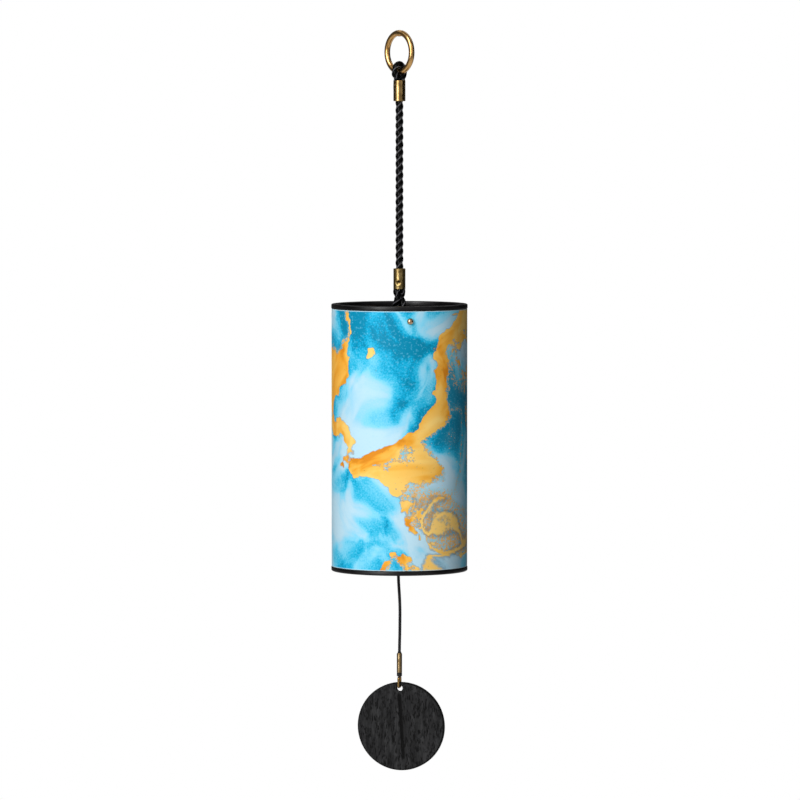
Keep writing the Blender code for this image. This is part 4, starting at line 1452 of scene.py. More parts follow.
@dataclass
class ResonatorTube:
    """The tube with its marbled sheet, its two edge trims and its cross pin."""

    bore: float = 56.4 * MM
    wall: float = 1.8 * MM
    seat_gap: float = 0.3 * MM
    sheet_thickness: float = 0.55 * MM
    lap_step: float = 0.24 * MM
    lap_width: float = math.radians(11)
    seam_angle: float = math.radians(62)
    trim_wall: float = 0.7 * MM
    trim_cover: float = 1.9 * MM
    trim_lip: float = 2.6 * MM
    trim_rounding: float = 0.55 * MM
    trim_edge: float = 0.16 * MM
    joint_angles: Pair = (math.radians(75), math.radians(104))
    joint_depth: float = 0.22 * MM
    joint_halves: Pair = (0.0015, 0.0040)
    trim_wave: float = 0.0006
    pin_diameter: float = 1.6 * MM
    pin_slip: float = 0.2 * MM
    pin_head: float = 3.05 * MM
    pin_neck: float = 1.0 * MM
    pin_flat: float = 0.45 * MM
    pin_brass: AgedBrass = AgedBrass(
        "d8a468", "b87c42", "5e3a22", patch=240.0, rough=0.24, lacquer=1.0, lacquer_ior=2.3
    )
    segments: int = 192

    def shell(self, name: str, node: str, inner: float, outer: float, rows: int) -> Part:
        """Turn a tube in rows over a node's height.

        Args:
            name: The piece's name.
            node: The CAD node whose height it has.
            inner: Inner radius.
            outer: Outer radius.
            rows: How many rows of faces its height has.

        Returns:
            The tube, not yet drilled for the pin.
        """
        low, high = span(node)
        levels = [low + (high - low) * i / rows for i in range(rows + 1)]
        outline = [(inner, z) for z in levels] + [(outer, z) for z in reversed(levels)]
        return turned(name, outline, self.segments)

    def drill(self, part: Part) -> None:
        """Drill the pin's holes through front and back of a tube."""
        reach = Vector((0.0, self.bore / 2 + 8.0 * MM, 0.0))
        line = UP * middle_of("cross_pin")
        cut(part, rod_tool(self.pin_diameter / 2 + self.pin_slip, line - reach, line + reach))

    def build_wall(self) -> None:
        """Turn the board tube and drill it."""
        wall = self.shell("board_wall", "resonator_tube", self.bore / 2, self.bore / 2 + self.wall, 6)
        self.drill(wall)
        install(wall, BoardWall().material("black_board"), Slot.WALL, Body.RESONATOR, "resonator_tube")

    def build_sheet(self) -> None:
        """Turn the marbled sheet, with the lap where its two ends meet behind."""
        inner = self.bore / 2 + self.wall + self.seat_gap
        outer = inner + self.sheet_thickness
        sheet = self.shell("marbled_wrap", "printed_wrap", inner, outer, 8)
        step = math.tau / self.segments

        def lap(corner: Vector) -> Vector:
            """Raise the last stretch before the seam and drop sharply after it.

            Args:
                corner: A vertex's place.

            Returns:
                Its new place.
            """
            radius = math.hypot(corner.x, corner.y)
            if radius < (inner + outer) / 2:
                return corner
            before = (self.seam_angle - math.atan2(corner.y, corner.x)) % math.tau
            rise = self.lap_step * (1.0 - smoothstep(0.0, self.lap_width, before - self.lap_width * 0.4))
            if before > math.tau - step:
                before = math.tau - step * 0.04
                rise = 0.0
            return level_direction(self.seam_angle - before) * (radius + rise) + UP * corner.z

        reshape(sheet, lap)
        self.drill(sheet)
        settle(sheet, "marbled_wrap", 30.0)
        finish = MarbledSheet(*span("printed_wrap"), outer, self.seam_angle)
        install(sheet, finish.material("marbled_paper"), Slot.SHEET, Body.RESONATOR, "printed_wrap")

    def trim_outline(self) -> Outline:
        """Section of a trim, a channel that caps the tube's end, measured down from its face."""
        inner = self.bore / 2 + self.wall + self.seat_gap
        outer = inner + self.trim_wall
        lip_outer = self.bore / 2 - self.seat_gap
        lip_inner = lip_outer - self.trim_wall
        r, edge = self.trim_rounding, self.trim_edge
        outline = [(inner, -self.trim_cover)]
        outline += arc((outer - edge, -self.trim_cover + edge), edge, -90, 0, 3)
        outline += arc((outer - r, -r), r, 0, 90, 6)
        outline += arc((lip_inner + r, -r), r, 90, 180, 6)
        outline += arc((lip_inner + edge, -self.trim_lip + edge), edge, 180, 270, 3)
        return outline + [(lip_outer, -self.trim_lip), (lip_outer, -self.trim_wall), (inner, -self.trim_wall)]

    def build_trim(self, name: str, node: str, joint: float, satin: bpy.types.Material) -> None:
        """Turn a trim, with the butt joint where its ends meet.

        Args:
            name: The piece's name.
            node: The CAD node it stands for.
            joint: Angle of the joint.
            satin: Its finish.
        """
        low, high = span(node)
        upright = node.startswith("top")
        section = [(r, high + z) if upright else (r, low - z) for r, z in self.trim_outline()]
        trim = turned(name, section, self.segments)
        step = math.tau / self.segments
        middle = self.bore / 2 + self.wall / 2

        def part_ends(corner: Vector) -> Vector:
            """Open a fine groove at the joint.

            Args:
                corner: A vertex's place.

            Returns:
                Its new place.
            """
            angle = math.atan2(corner.y, corner.x)
            off = (angle - joint + math.pi) % math.tau - math.pi
            if abs(off) >= 1.5 * step:
                wave = 1.0 + self.trim_wave * noise.noise((level_direction(angle) + UP * joint) * 3.0)
                return Vector((corner.x * wave, corner.y * wave, corner.z))
            radius = math.hypot(corner.x, corner.y)
            nearest = abs(off) < 0.5 * step
            if nearest:
                radius += math.copysign(self.joint_depth, middle - radius)
            squeezed = joint + math.copysign(self.joint_halves[0 if nearest else 1], off)
            return level_direction(squeezed) * radius + UP * corner.z

        reshape(trim, part_ends)
        settle(trim, name, 30.0)
        install(trim, satin, Slot.TRIM, Body.RESONATOR, node)

    def build_pin(self) -> None:
        """Turn the pin with its ball head in front and the ball cap behind."""
        ball = self.pin_head / 2
        flat, flat_angle = self.pin_flat, math.degrees(math.asin(self.pin_flat / ball))
        shaft, neck = self.pin_diameter / 2, self.pin_neck / 2
        front = -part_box("cross_pin")[0][1] - ball
        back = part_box("cross_pin_cap")[1][1] - ball
        neck_end = -back - ball * 0.4
        pin = [(0.0, neck_end), (neck, neck_end), (neck, -back + flat), (shaft, -back + flat + 0.3 * MM)]
        pin += [(shaft, front - flat), *arc((0.0, front), ball, -flat_angle, 90, 14)[:-1]]
        pin += [(0.0, front + ball)]
        socket, depth = neck + self.pin_slip, neck_end - self.pin_slip
        cap = [(0.0, depth), (socket, depth), (socket, -back + flat)]
        cap += [*arc((0.0, -back), ball, flat_angle, -90, 14)[:-1], (0.0, -back - ball)]
        brass = self.pin_brass.material("pin_brass")
        pieces = (("pin_through_tube", "cross_pin", pin), ("pin_cap_behind", "cross_pin_cap", cap))
        for name, node, outline in pieces:
            part = turned(name, outline, 40, closed=False)
            reseat(part, UP * middle_of("cross_pin"), (math.pi / 2, 0.0, 0.0))
            install(part, brass, Slot.BRASS, Body.RESONATOR, node)

    def build(self) -> None:
        """Make the tube's six pieces."""
        self.build_wall()
        self.build_sheet()
        satin = SatinTrim().material("black_trim_satin")
        top_joint, foot_joint = self.joint_angles
        self.build_trim("trim_round_top", "top_edge_trim", top_joint, satin)
        self.build_trim("trim_round_foot", "bottom_edge_trim", foot_joint, satin)
        self.build_pin()


@dataclass
class SoundingFoot:
    """The base disc in the tube's foot, the plate on it, its screws and the eight tuned rods."""

    base_radius: float = 27.9 * MM
    hole_radius: float = 9.5 * MM
    plate_radius: float = 25.0 * MM
    rod_count: int = 8
    rod_diameter: float = 2.5 * MM
    rod_tip: float = 0.3 * MM
    circle_radius: float = 20.5 * MM
    slip: float = 0.2 * MM
    boss_foot: float = 1.0 * MM
    boss_top: float = 0.4 * MM
    boss_height: float = 1.1 * MM
    boss_sunk: float = 0.6 * MM
    screw_count: int = 3
    screw_circle: float = 14.5 * MM
    screw_head: float = 3.8 * MM
    screw_shank: float = 1.6 * MM
    screw_head_height: float = 1.2 * MM
    thread_pitch: float = 0.45 * MM
    thread_depth: float = 0.16 * MM
    slot_size: Pair = (0.5 * MM, 0.9 * MM)

    def spots(self, count: int, radius: float, start: float) -> list[Vector]:
        """Places spread evenly on a level circle."""
        return [level_direction(start + math.tau * i / count) * radius for i in range(count)]

    @property
    def rod_spots(self) -> list[Vector]:
        """Places of the rods."""
        return self.spots(self.rod_count, self.circle_radius, math.pi / self.rod_count)

    @property
    def screw_spots(self) -> list[Vector]:
        """Places of the screws."""
        return self.spots(self.screw_count, self.screw_circle, math.pi / 2)

    def drill(self, part: Part, spots: Sequence[Vector], diameter: float, low: float, high: float) -> None:
        """Drill upright holes with a little play.

        Args:
            part: The piece.
            spots: Their places.
            diameter: What goes into them.
            low: Their foot.
            high: Their top.
        """
        for spot in spots:
            cut(part, rod_tool(diameter / 2 + self.slip, spot + UP * low, spot + UP * high))

    def build_base(self) -> None:
        """Turn the wooden disc and ease its edges."""
        low, high = span("base_disc")
        inner, outer = self.hole_radius, self.base_radius
        base = turned("wooden_base", [(inner, low), (outer, low), (outer, high), (inner, high)], 128)
        ease_edges(base, 0.35 * MM, 3)
        self.drill(base, self.screw_spots, self.screw_shank, low + 1.5 * MM, high + MM)
        settle(base, "wooden_base")
        install(base, PlainWood().material("base_beech"), Slot.BASE, Body.RESONATOR, "base_disc")

    def build_plate(self) -> None:
        """Turn the brass plate, braze the bosses on it and drill it for rods and screws."""
        low, high = span("sounding_plate")
        top = high - self.boss_height
        inner, outer = self.hole_radius, self.plate_radius
        plate = turned("plate_of_brass", [(inner, low), (outer, low), (outer, top), (inner, top)], 128)
        ease_edges(plate, 0.2 * MM, 2)
        hole = self.rod_diameter / 2 + self.slip
        foot, crest, sunk = hole + self.boss_foot, hole + self.boss_top, top - self.boss_sunk
        fillet = [
            (0.0, sunk), (foot + 0.15 * MM, sunk), (foot + 0.15 * MM, top),
            (foot - 0.3 * MM, top + 0.12 * MM), (foot - 0.52 * MM, top + 0.36 * MM),
            (crest, top + 0.72 * MM), (crest - 0.12 * MM, high), (0.0, high),
        ]
        boss = turned("boss", fillet, 32, closed=False)
        for spot in self.rod_spots:
            cut(plate, reseat(copy_of(boss, "boss_tool"), spot), "UNION")
        discard(boss)
        self.drill(plate, self.rod_spots, self.rod_diameter, low - MM, high + MM)
        self.drill(plate, self.screw_spots, self.screw_shank, low - MM, high + MM)
        settle(plate, "plate_of_brass")
        brass = BrushedPlate().material("turned_plate_brass")
        install(plate, brass, Slot.PLATE, Body.RESONATOR, "sounding_plate")

    def build_screws(self) -> None:
        """Turn one slotted screw, then copy it to its three places."""
        low, high = span("plate_screw_1")
        head, shank = self.screw_head / 2, self.screw_shank / 2
        seat = high - self.screw_head_height + 0.3 * MM
        outline = [(0.0, low), (0.35 * MM, low), (shank, low + 0.9 * MM)]
        for i in range(int((seat - low - 1.2 * MM) / self.thread_pitch)):
            z = low + 0.95 * MM + i * self.thread_pitch
            outline += [(shank, z), (shank - self.thread_depth, z + 0.22 * MM)]
        outline += [(shank, seat - 0.1 * MM), (shank, seat)]
        outline += [(head - 0.12 * MM, seat), (head, seat + 0.12 * MM)]
        side = seat + 0.4 * MM
        outline += [(head * u, side + (high - side) * v) for u, v in arc((0.0, 0.0), 1.0, 0, 90, 8)[:-1]]
        screw = turned("screw", outline + [(0.0, high)], 40, closed=False)
        deselect()
        bpy.ops.mesh.primitive_cube_add(size=1.0, location=(0.0, 0.0, high))
        blade = bpy.context.object
        blade.scale = (self.screw_head * 1.2, *self.slot_size)
        cut(screw, settle(blade, "blade"))
        steel = DrawnSteel(bright="b9b9b5", foot=low - 1.0).material("screw_steel_bright")
        for number, spot in enumerate(self.screw_spots, 1):
            name = f"slotted_screw_{number}"
            twin = reseat(copy_of(screw, name), spot, (0.0, 0.0, math.radians(23 + 47 * number)))
            install(settle(twin, name), steel, Slot.SCREW, Body.RESONATOR, f"plate_screw_{number}")
        discard(screw)

    def build_rods(self) -> None:
        """Turn one rod, then copy it to each place and draw it out to its note's length."""
        low, high = span("tuned_rod_1")
        radius, tip = self.rod_diameter / 2, self.rod_tip
        outline = [(0.0, low), (radius - 0.1 * MM, low), (radius, low + 0.1 * MM), (radius, high - tip)]
        outline += [*arc((radius - tip, high - tip), tip, 20, 90, 4), (0.0, high)]
        rod = turned("rod", outline, 32, closed=False)
        plate_top = span("sounding_plate")[1] - self.boss_height
        steel = DrawnSteel(foot=plate_top).material("rod_steel_drawn")
        for number, spot in enumerate(self.rod_spots, 1):
            node = f"tuned_rod_{number}"
            twin = copy_of(rod, f"rod_of_note_{number}")
            take(twin)
            bpy.ops.object.mode_set(mode="EDIT")
            pick("verts", lambda corner: corner.co.z > high - 2 * tip)
            bpy.ops.transform.translate(value=(0.0, 0.0, span(node)[1] - high))
            bpy.ops.object.mode_set(mode="OBJECT")
            install(reseat(twin, spot), steel, Slot.ROD, Body.RESONATOR, node)
        discard(rod)

    def build(self) -> None:
        """Make the foot's thirteen pieces."""
        self.build_base()
        self.build_plate()
        self.build_screws()
        self.build_rods()


@dataclass
class ClapperTrain:
    """The bridle on the pin, the cord hooked to it, the clapper and its stop bead."""

    cord_diameter: float = 1.2 * MM
    eye_diameter: float = 2.7 * MM
    pin_diameter: float = 1.6 * MM
    seat_gap: float = 0.3 * MM
    side_gap: float = 0.45 * MM
    turn_pitch: float = 1.6 * MM
    turn_angle: float = math.radians(320)
    turn_knots: int = 8
    drop: float = 11.8 * MM
    bend_radius: float = 1.8 * MM
    leg_knots: Pair = (0.35, 0.72)
    crimp_diameter: float = 3.0 * MM
    crimp_wall: float = 0.35 * MM
    crimp_rows: int = 16
    crimp_pinch: float = 0.16
    eye_insert: float = 1.2 * MM
    cord_insert: float = 1.9 * MM
    clapper_radius: float = 15.5 * MM
    clapper_rounding: float = 1.4 * MM
    clapper_groove: float = 0.12 * MM
    bead_diameter: float = 3.2 * MM
    bead_rounding: float = 0.55 * MM

    def bridle_knots(self, pin_z: float) -> list[Vector]:
        """Route the bridle: a turn on the pin, down to a bend, and up to a second turn.

        Args:
            pin_z: Height of the pin's middle.

        Returns:
            The knots.
        """
        turn_radius = self.pin_diameter / 2 + self.seat_gap + self.cord_diameter / 2
        inner = self.eye_diameter / 2 + self.side_gap + self.cord_diameter / 2
        bend, drop = self.bend_radius, self.drop
        slant = bend * math.sin(math.radians(45))
        half = [(0.0, slant, -drop - slant), (0.0, bend, -drop)]
        for share in self.leg_knots:
            half.append((turn_radius * share, bend + (inner - bend) * share, -drop * (1.0 - share)))
        for i in range(self.turn_knots + 1):
            angle = self.turn_angle * i / self.turn_knots
            along = inner + self.turn_pitch * angle / math.tau
            half.append((turn_radius * math.cos(angle), along, turn_radius * math.sin(angle)))
        other = [(-x, -y, z) for x, y, z in reversed(half)]
        return [Vector((x, y, z + pin_z, 1.0)) for x, y, z in [*other, (0.0, 0.0, -drop - bend), *half]]

    def build_cords(self) -> None:
        """Lay the bridle, the eye hooked to it and the clapper's cord."""
        pin_z, bead_z = middle_of("cross_pin"), middle_of("clapper_stop_bead")
        crimp_low, crimp_high = span("clapper_cord_crimp")
        fibre = TwistedFibre(fibres=23.0).material("cord_fibre")
        loop = self.cord_diameter + self.seat_gap
        bend_z = pin_z - self.drop - self.bend_radius
        eye = Eye(
            RIGHT, (loop, loop), bend_z - crimp_high, self.eye_insert, self.cord_diameter,
            self.crimp_diameter / 2 - self.crimp_wall, ((loop * 1.35, loop * 0.62, 0.0),),
        )
        top = crimp_low + self.cord_insert
        straight = [plumb_knot(top), plumb_knot(bead_z)]
        for name, node, body, knots, spacing in (
            ("bridle_on_pin", "clapper_bridle", Body.BRIDLE, self.bridle_knots(pin_z), 0.2 * MM),
            ("eye_on_bridle", "clapper_cord_eye", Body.CLAPPER, eye.knots((0.0, 0.0, bend_z)), 0.2 * MM),
            ("cord_of_clapper", "clapper_cord", Body.CLAPPER, straight, 0.25 * MM),
        ):
            route = smooth_route(knots, spacing)
            cord = laid_cord(name, route, self.cord_diameter, CORD_LAY)
            install(cord, fibre, Slot.CORD, body, node)
        bead = self.build_fittings()
        centreline(route, 1.5 * MM)

    def build_fittings(self) -> Part:
        """Turn the crimp and the bead.

        Returns:
            The bead.
        """
        brass = AgedBrass().material("crimp_brass")
        low, high = span("clapper_cord_crimp")
        outer, bore = self.crimp_diameter / 2, self.crimp_diameter / 2 - self.crimp_wall
        step = (high - low) / self.crimp_rows
        outline = [(bore, low), *[(outer, low + step * i) for i in range(self.crimp_rows + 1)], (bore, high)]
        crimp = turned("crimp_on_cord", outline, 36)
        middle = (low + high) / 2

        def pinch(corner: Vector) -> Vector:
            """Press the crimp flat from two sides in its middle.

            Args:
                corner: A vertex's place.

            Returns:
                Its new place.
            """
            if math.hypot(corner.x, corner.y) < (outer + bore) / 2:
                return corner
            press = self.crimp_pinch * math.exp(-((corner.z - middle) / MM) ** 2)
            return Vector((corner.x * (1.0 + press * 0.4), corner.y * (1.0 - press * 0.8), corner.z))

        reshape(crimp, pinch)
        ease_edges(crimp, 0.1 * MM, 2, 50.0)
        settle(crimp, "crimp_on_cord")
        install(crimp, brass, Slot.BRASS, Body.CLAPPER, "clapper_cord_crimp")
        low, high = span("clapper_stop_bead")
        outer, bore, r = self.bead_diameter / 2, self.cord_diameter / 2 + self.seat_gap, self.bead_rounding
        outline = [(bore, low), *arc((outer - r, low + r), r, -90, 0, 6)]
        outline += [*arc((outer - r, high - r), r, 0, 90, 6), (bore, high)]
        bead = turned("bead_under_clapper", outline, 40)
        return install(bead, brass, Slot.BRASS, Body.CLAPPER, "clapper_stop_bead")

    def build_clapper(self) -> None:
        """Turn the clapper, with a shallow groove round its edge."""
        low, high = span("clapper")
        bore, ease = self.cord_diameter / 2 + self.seat_gap, 0.3 * MM
        radius, r = self.clapper_radius, self.clapper_rounding
        outline = [(bore, low + ease), (bore + ease, low), *arc((radius - r, low + r), r, -90, 0, 8)]
        outline += [(radius - self.clapper_groove, (low + high) / 2)]
        outline += [*arc((radius - r, high - r), r, 0, 90, 8), (bore + ease, high), (bore, high - ease)]
        clapper = turned("wooden_clapper", outline, 128)
        wood = PlainWood(pale="c99d68", ring="a87743", shift=(0.3, 0.2, 0.1)).material("clapper_beech")
        install(clapper, wood, Slot.CLAPPER, Body.CLAPPER, "clapper")

    def build(self) -> None:
        """Make the train's six pieces."""
        self.build_cords()
        self.build_clapper()


@dataclass
class SailTrain:
    """The free cord under the tube, its ferrule and collar, the link and the sail."""

    cord_diameter: float = 1.2 * MM
    cord_fullness: float = 1.22
    cord_insert: float = 3.0 * MM
    cord_wander: float = 0.42 * MM
    cord_in_sleeve: float = 1.28
    cord_bend: float = 3.0 * MM
    ferrule_diameter: float = 2.4 * MM
    ferrule_wall: float = 0.3 * MM
    collar_wall: float = 0.4 * MM
    collar_height: float = 1.65 * MM
    wire_diameter: float = 0.9 * MM
    wire_fullness: float = 1.1
    shank_insert: float = 2.0 * MM
    link_to_face: float = 0.4 * MM
    link_corner: float = 0.75 * MM
    sail_diameter: float = 40.3 * MM
    sail_thickness: float = 2.6 * MM
    sail_yaw: float = math.radians(-21.4)
    sail_aside: float = 0.86 * MM
    sail_cuts: tuple[int, int] = (116, 30)
    hole_diameter: float = 2.85 * MM
    hole_edge: float = 1.25 * MM
    hole_aside: float = 0.25 * MM
    grain_depth: float = 0.05 * MM
    groove_depth: float = 0.42 * MM
    groove_half_width: float = 0.95 * MM
    groove_top: float = -0.12 * MM
    groove_foot: float = 2.5 * MM
    groove_ends: Pair = (4.6 * MM, 5.4 * MM)
    sleeve_brass: AgedBrass = AgedBrass("9a8460", "806a48", "4e3c26", patch=600.0, rough=0.38)
    link_brass: AgedBrass = AgedBrass("bc9a60", "927244", "50391e")

    @property
    def across(self) -> Vector:
        """Level direction in the plane of the sail, to the right as seen from in front."""
        return level_direction(self.sail_yaw)

    @property
    def facing(self) -> Vector:
        """The way the sail's front faces."""
        return Vector((math.sin(self.sail_yaw), -math.cos(self.sail_yaw), 0.0))

    def build_sleeves(self) -> Part:
        """Turn the thin sleeve over the cord's end and the black collar under it.

        Returns:
            The sleeve.
        """
        low, (_, high) = span("cord_end_collar")[0], span("sail_ferrule")
        joint = low + self.collar_height
        outer, bore, edge = self.ferrule_diameter / 2, self.ferrule_diameter / 2 - self.ferrule_wall, 0.1 * MM
        outline = [(bore, joint + edge), (bore + edge, joint), (outer - 0.08 * MM, joint)]
        outline += [(outer, joint + edge), (outer, high - 0.4 * MM), (outer - 0.22 * MM, high), (bore, high)]
        sleeve = turned("sleeve_on_sail_cord", outline, 40)
        brass = self.sleeve_brass.material("sleeve_brass")
        install(sleeve, brass, Slot.BRASS, Body.SAIL_LINE, "sail_ferrule")
        bore = outer - self.collar_wall
        outline = [(bore, low), (outer - 0.15 * MM, low), (outer, low + 0.15 * MM)]
        outline += [(outer, joint - 0.12 * MM), (outer - 0.12 * MM, joint), (bore, joint)]
        collar = turned("collar_under_sleeve", outline, 40)
        satin = SatinTrim(deep="070707", worn="161616").material("collar_satin")
        install(collar, satin, Slot.CORD, Body.SAIL_LINE, "cord_end_collar")
        return sleeve

    def build_cord(self, sleeve: Part) -> None:
        """Lay the cord from the stop bead down into its sleeve, with a thin cord's slight bends.

        Args:
            sleeve: The sleeve on its lower end.
        """
        bead_low = span("clapper_stop_bead")[0]
        bend_z = (span("sail_cord_upper")[0] + span("sail_cord_lower")[1]) / 2
        top = middle_of("clapper_stop_bead") - 0.15 * MM
        sleeve_top = span("sail_ferrule")[1]
        foot, inside = sleeve_top - self.cord_insert, self.cord_in_sleeve
        plan = (
            (top, 0.0, 0.9), (bead_low, 0.0, 1.0), (-0.2160, 0.0, 1.0), (bend_z, -0.95, 1.0),
            (-0.2480, -1.0, 1.0), (-0.2590, 0.45, 1.0), (-0.2690, 0.5, 1.0),
            (sleeve_top + 1.6 * MM, 0.02, 1.0), (sleeve_top, 0.0, inside), (foot, 0.0, inside),
        )
        knots = [plumb_knot(z, share, self.cord_wander * side) for z, side, share in plan]
        route = smooth_route(knots, 0.16 * MM)
        cord = laid_cord("cord_of_sail", route, self.cord_diameter * self.cord_fullness, SAIL_CORD_LAY)
        fibre = TwistedFibre(fibres=23.0).material("sail_cord_fibre")
        install(cord, fibre, Slot.CORD, None, "sail_cord_upper", "sail_cord_lower")
        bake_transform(cord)
        centreline(route, 3.0 * MM)

    def build_link(self) -> None:
        """Bend the wire link: a shank, then once round through the sail's hole and back."""
        link_foot = span("sail_link")[0] + self.wire_diameter / 2
        corner = self.link_corner
        side = self.sail_thickness / 2 + self.link_to_face + self.wire_diameter / 2
        shank_top = span("sail_ferrule")[0] - link_foot + self.shank_insert
        shank_foot = span("cord_end_collar")[0] - link_foot
        shoulder = shank_foot - self.wire_diameter / 2
        plan = [(0.0, shank_top), (0.0, shank_foot + self.wire_diameter)]
        for centre, start, end in (
            ((-corner, shoulder + corner), 0, -90), ((-side + corner, shoulder - corner), 90, 180),
            ((-side + corner, corner), 180, 270), ((side - corner, corner), 270, 360),
            ((side - corner, shoulder - corner), 0, 90),
        ):
            plan += arc(centre, corner, start, end, 2)
        knots = [Vector((*(self.facing * -depth + UP * (height + link_foot)), 1.0)) for depth, height in plan]
        wire = self.wire_diameter * self.wire_fullness
        link = laid_cord("link_of_wire", smooth_route(knots, 0.15 * MM), wire, WIRE)
        install(link, self.link_brass.material("link_brass"), Slot.BRASS, Body.SAIL_LINE, "sail_link")

    def saw_sail(self, middle: Vector, high: float) -> Part:
        """Cut the sail out, drill it and divide its faces finely along the grain.

        Args:
            middle: The sail's middle.
            high: Its top.

        Returns:
            The plain sail.
        """
        radius = self.sail_diameter / 2
        deselect()
        bpy.ops.mesh.primitive_cylinder_add(
            vertices=180, radius=radius, depth=self.sail_thickness, location=middle,
            rotation=(math.pi / 2, 0.0, self.sail_yaw),
        )
        sail = settle(bpy.context.object, "wooden_sail")
        reach = self.facing * (self.sail_thickness / 2 + MM)
        hole = UP * (high - self.hole_edge - self.hole_diameter / 2) + self.across * self.hole_aside
        cut(sail, rod_tool(self.hole_diameter / 2, hole - reach, hole + reach, 48))
        ease_edges(sail, 0.3 * MM, 3)
        take(sail)
        bpy.ops.object.mode_set(mode="EDIT")
        for normal, count in zip((self.across, UP), self.sail_cuts):
            for i in range(1, count):
                place = middle + normal * (radius * (2 * i / count - 1))
                bpy.ops.mesh.select_all(action="SELECT")
                bpy.ops.mesh.bisect(plane_co=place, plane_no=normal)
        bpy.ops.object.mode_set(mode="OBJECT")
        return sail

    def build_sail(self) -> None:
        """Saw the sail, brush its grain open and score its groove."""
        low, high = span("wind_sail")
        middle = UP * ((low + high) / 2) + self.across * self.sail_aside
        half = self.sail_thickness / 2
        sail = self.saw_sail(middle, high)
        foot, top = low + self.groove_ends[0], high - self.groove_ends[1]
        slope = (self.groove_top - self.groove_foot) / (high - low)

        def groove_line(height: float) -> float:
            """Place of the groove across the sail at a height."""
            return self.groove_foot + slope * (height - low)

        def brush(corner: Vector) -> Vector:
            """Sink a point of either face by the grain and the groove there.

            Args:
                corner: A vertex's place.

            Returns:
                Its new place.
            """
            place = corner - middle
            depth = place.dot(self.facing)
            if abs(depth) < half - 0.02 * MM:
                return corner
            x, z = place.dot(self.across), place.z
            grain = noise.noise(Vector((x * 1500.0, z * 55.0, depth * 900.0)))
            grain += 0.5 * noise.noise(Vector((x * 3100.0, z * 120.0, depth * 900.0 + 5.0)))
            sink = self.grain_depth * max(0.0, grain + 0.15)
            if depth > 0.0 and foot < corner.z < top:
                off = corner.dot(self.across) - groove_line(corner.z)
                sink += self.groove_depth * max(0.0, 1.0 - abs(off) / self.groove_half_width)
            return corner - self.facing * math.copysign(sink, depth)

        reshape(sail, brush)
        settle(sail, "wooden_sail", 32.0)
        wood = StainedWood(
            self.sail_yaw, half, self.sail_diameter / 2, (self.sail_aside, middle.z),
            (groove_line(foot), foot), (groove_line(top), top), self.groove_half_width,
        )
        install(sail, wood.material("stained_wood"), Slot.SAIL, Body.SAIL, "wind_sail")

    def build(self) -> None:
        """Make the train's five pieces."""
        self.build_cord(self.build_sleeves())
        self.build_link()
        self.build_sail()


# Studio


@dataclass(frozen=True)
class Panel:
    """Something flat that is turned to face the chime.

    Attributes:
        azimuth: Degrees to the right of the camera, seen from the chime.
        elevation: Degrees above the chime's middle.
        distance: From the chime.
        width: Across.
        height: Upright.
    """

    name: str
    azimuth: float
    elevation: float
    distance: float
    width: float
    height: float


@dataclass(frozen=True)
class Softbox(Panel):
    """A large soft lamp.

    Attributes:
        watts: Power.
        shows: Whether polished metal shows it.
    """

    watts: float
    shows: bool = True


@dataclass(frozen=True)
class Card(Panel):
    """A panel that glows an even grey, seen only in polished surfaces as a painted reflection, and lights
    nothing.

    Attributes:
        level: Its grey, from 0 for a black flag to 1 for a white card.
    """

    level: float


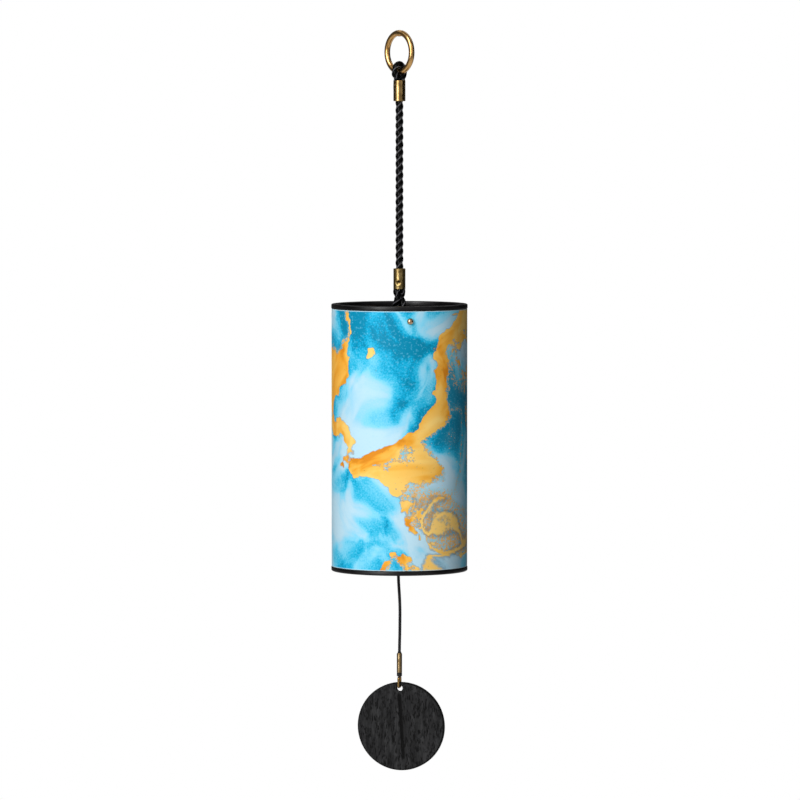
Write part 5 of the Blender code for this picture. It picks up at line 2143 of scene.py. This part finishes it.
@dataclass
class Studio:
    """Camera, pale floor, white surroundings and soft lamps."""

    camera_azimuth: float = -8.9
    camera_distance: float = 2.8
    camera_height: float = -0.0013
    camera_aside: float = 0.00026
    camera_tilt: float = 3.363
    focal_length: float = 277.48
    sensor_width: float = 36.0
    view_end: float = 40.0
    middle: float = -0.17
    floor_level: float = -0.42
    floor_radius: float = 2.2
    floor_fade: Pair = (0.10, 0.52)
    floor_lift: Pair = (0.64, 1.0)
    ambient: float = 0.08
    softboxes: tuple[Softbox, ...] = (
        Softbox("key_softbox", -33.0, 30.0, 1.5, 0.5, 2.0, 19.0),
        Softbox("fill_softbox", -12.0, 14.0, 2.0, 1.0, 1.0, 18.0, shows=False),
        Softbox("back_softbox", -165.0, 8.0, 1.8, 1.4, 1.4, 12.0, shows=False),
    )
    cards: tuple[Card, ...] = (
        Card("card_front", 20.0, -4.0, 1.9, 2.0, 2.2, 0.36),
        Card("card_right", 82.0, 0.0, 1.5, 1.6, 4.2, 0.01),
        Card("card_back_right", 138.0, 0.0, 1.5, 1.5, 2.4, 0.01),
        Card("card_back", 180.0, 6.0, 1.9, 1.4, 1.9, 0.02),
        Card("card_back_left", -138.0, 0.0, 1.5, 1.6, 2.8, 0.06),
        Card("card_left", -94.0, 0.0, 1.5, 1.4, 2.8, 0.06),
        Card("card_above", 0.0, 84.0, 1.6, 2.6, 2.6, 0.18),
        Card("card_below", 0.0, -90.0, 0.235, 3.6, 3.6, 0.20),
        Card("card_near_below", 0.0, -90.0, 0.230, 1.2, 1.2, 0.62),
    )

    def stand(self, panel: Panel) -> tuple[Vector, Triple]:
        """Find where a lamp or card stands and how it is turned to face the chime.

        Args:
            panel: The lamp or card.

        Returns:
            The place, and the rotation that points -Z at the chime.
        """
        turn = math.radians(self.camera_azimuth + panel.azimuth)
        rise = math.radians(panel.elevation)
        out = Vector((math.sin(turn) * math.cos(rise), -math.cos(turn) * math.cos(rise), math.sin(rise)))
        place = out * panel.distance + UP * self.middle
        return place, tuple((-out).to_track_quat("-Z", "Y").to_euler())

    def set_camera(self) -> None:
        """Set the camera up at the photograph's viewing angle."""
        data = bpy.data.cameras.new("view")
        data.lens = self.focal_length
        data.sensor_width = self.sensor_width
        data.clip_end = self.view_end
        camera = bpy.data.objects.new("view", data)
        bpy.context.collection.objects.link(camera)
        turn = math.radians(self.camera_azimuth)
        out = Vector((math.sin(turn), -math.cos(turn), 0.0))
        aside = level_direction(turn) * self.camera_aside
        camera.location = out * self.camera_distance + aside + UP * self.camera_height
        camera.rotation_euler = (math.radians(90.0 - self.camera_tilt), 0.0, turn)
        bpy.context.scene.camera = camera

    def set_surroundings(self) -> None:
        """Make the world white to the camera and in reflections, and a plain level as light."""
        world = bpy.data.worlds.new("surroundings")
        bpy.context.scene.world = world
        graph = Graph(world)
        rays = graph.add("LightPath").outputs
        seen = Value(graph, rays["Is Camera Ray"])
        for ray in ("Is Glossy Ray", "Is Transmission Ray"):
            seen = graph.math("MAXIMUM", seen, Value(graph, rays[ray]))
        light = graph.value("Background", {"Color": WHITE, "Strength": self.ambient})
        white = graph.value("Background", {"Color": WHITE, "Strength": 1.0})
        graph.surface(graph.mix(seen, light, white))

    def lay_floor(self) -> None:
        """Lay the pale floor, lifted towards white where the camera sees it and clear from below."""
        deselect()
        bpy.ops.mesh.primitive_circle_add(
            vertices=96, radius=self.floor_radius, fill_type="NGON", location=UP * self.floor_level,
        )
        floor = bpy.context.object
        floor.name = "studio_floor"
        graph = Graph(bpy.data.materials.new("pale_floor"))
        graph.dress(Base_Color="a2a2a1", Roughness=0.9, Specular_IOR_Level=0.1)
        _, away, _ = graph.polar()
        lift = graph.rise(away, *self.floor_fade, *self.floor_lift)
        seen = graph.value("LightPath", output="Is Camera Ray") * lift
        pale = graph.mix(seen, Value(graph, graph.shader.outputs[0]), graph.glow(1.0))
        behind = graph.value("NewGeometry", output="Backfacing")
        graph.surface(graph.mix(behind, pale, graph.value("BsdfTransparent")))
        floor.data.materials.append(graph.owner)

    def hang(self, card: Card) -> None:
        """Stand a card up, seen only in reflections.

        Args:
            card: The card.
        """
        deselect()
        place, turn = self.stand(card)
        bpy.ops.mesh.primitive_plane_add(size=1.0, location=place, rotation=turn)
        panel = bpy.context.object
        panel.name = card.name
        panel.scale = (card.width, card.height, 1.0)
        for ray in ("camera", "diffuse", "shadow"):
            setattr(panel, "visible_" + ray, False)
        graph = Graph(bpy.data.materials.new(card.name + "_cloth"))
        graph.surface(graph.glow(card.level))
        panel.data.materials.append(graph.owner)

    def light(self, box: Softbox) -> None:
        """Switch a softbox on.

        Args:
            box: The softbox.
        """
        data = bpy.data.lights.new(box.name, "AREA")
        data.shape = "RECTANGLE"
        data.size, data.size_y = box.width, box.height
        data.energy = box.watts
        lamp = bpy.data.objects.new(box.name, data)
        lamp.visible_camera = False
        lamp.visible_glossy = box.shows
        bpy.context.collection.objects.link(lamp)
        lamp.location, lamp.rotation_euler = self.stand(box)

    def build(self) -> None:
        """Set the whole studio up."""
        bpy.context.scene.view_settings.view_transform = "Standard"
        self.set_camera()
        self.set_surroundings()
        self.lay_floor()
        for card in self.cards:
            self.hang(card)
        for box in self.softboxes:
            self.light(box)


def corners(box: Sequence[Sequence[float]]) -> list[list[float]]:
    """Turn a box's two corners into plain lists."""
    return [[round(float(value), 6) for value in corner] for corner in box]


def main() -> None:
    """Load the frame and build every sub-assembly round it."""
    logging.basicConfig(level=logging.INFO, format="%(message)s")
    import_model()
    Studio().build()
    for assembly in (HangingRing, Suspension, ResonatorTube, SoundingFoot, ClapperTrain, SailTrain):
        assembly().build()
        LOG.info("%s is done", assembly.__name__)
    deselect()


if __name__ == "__main__":
    main()
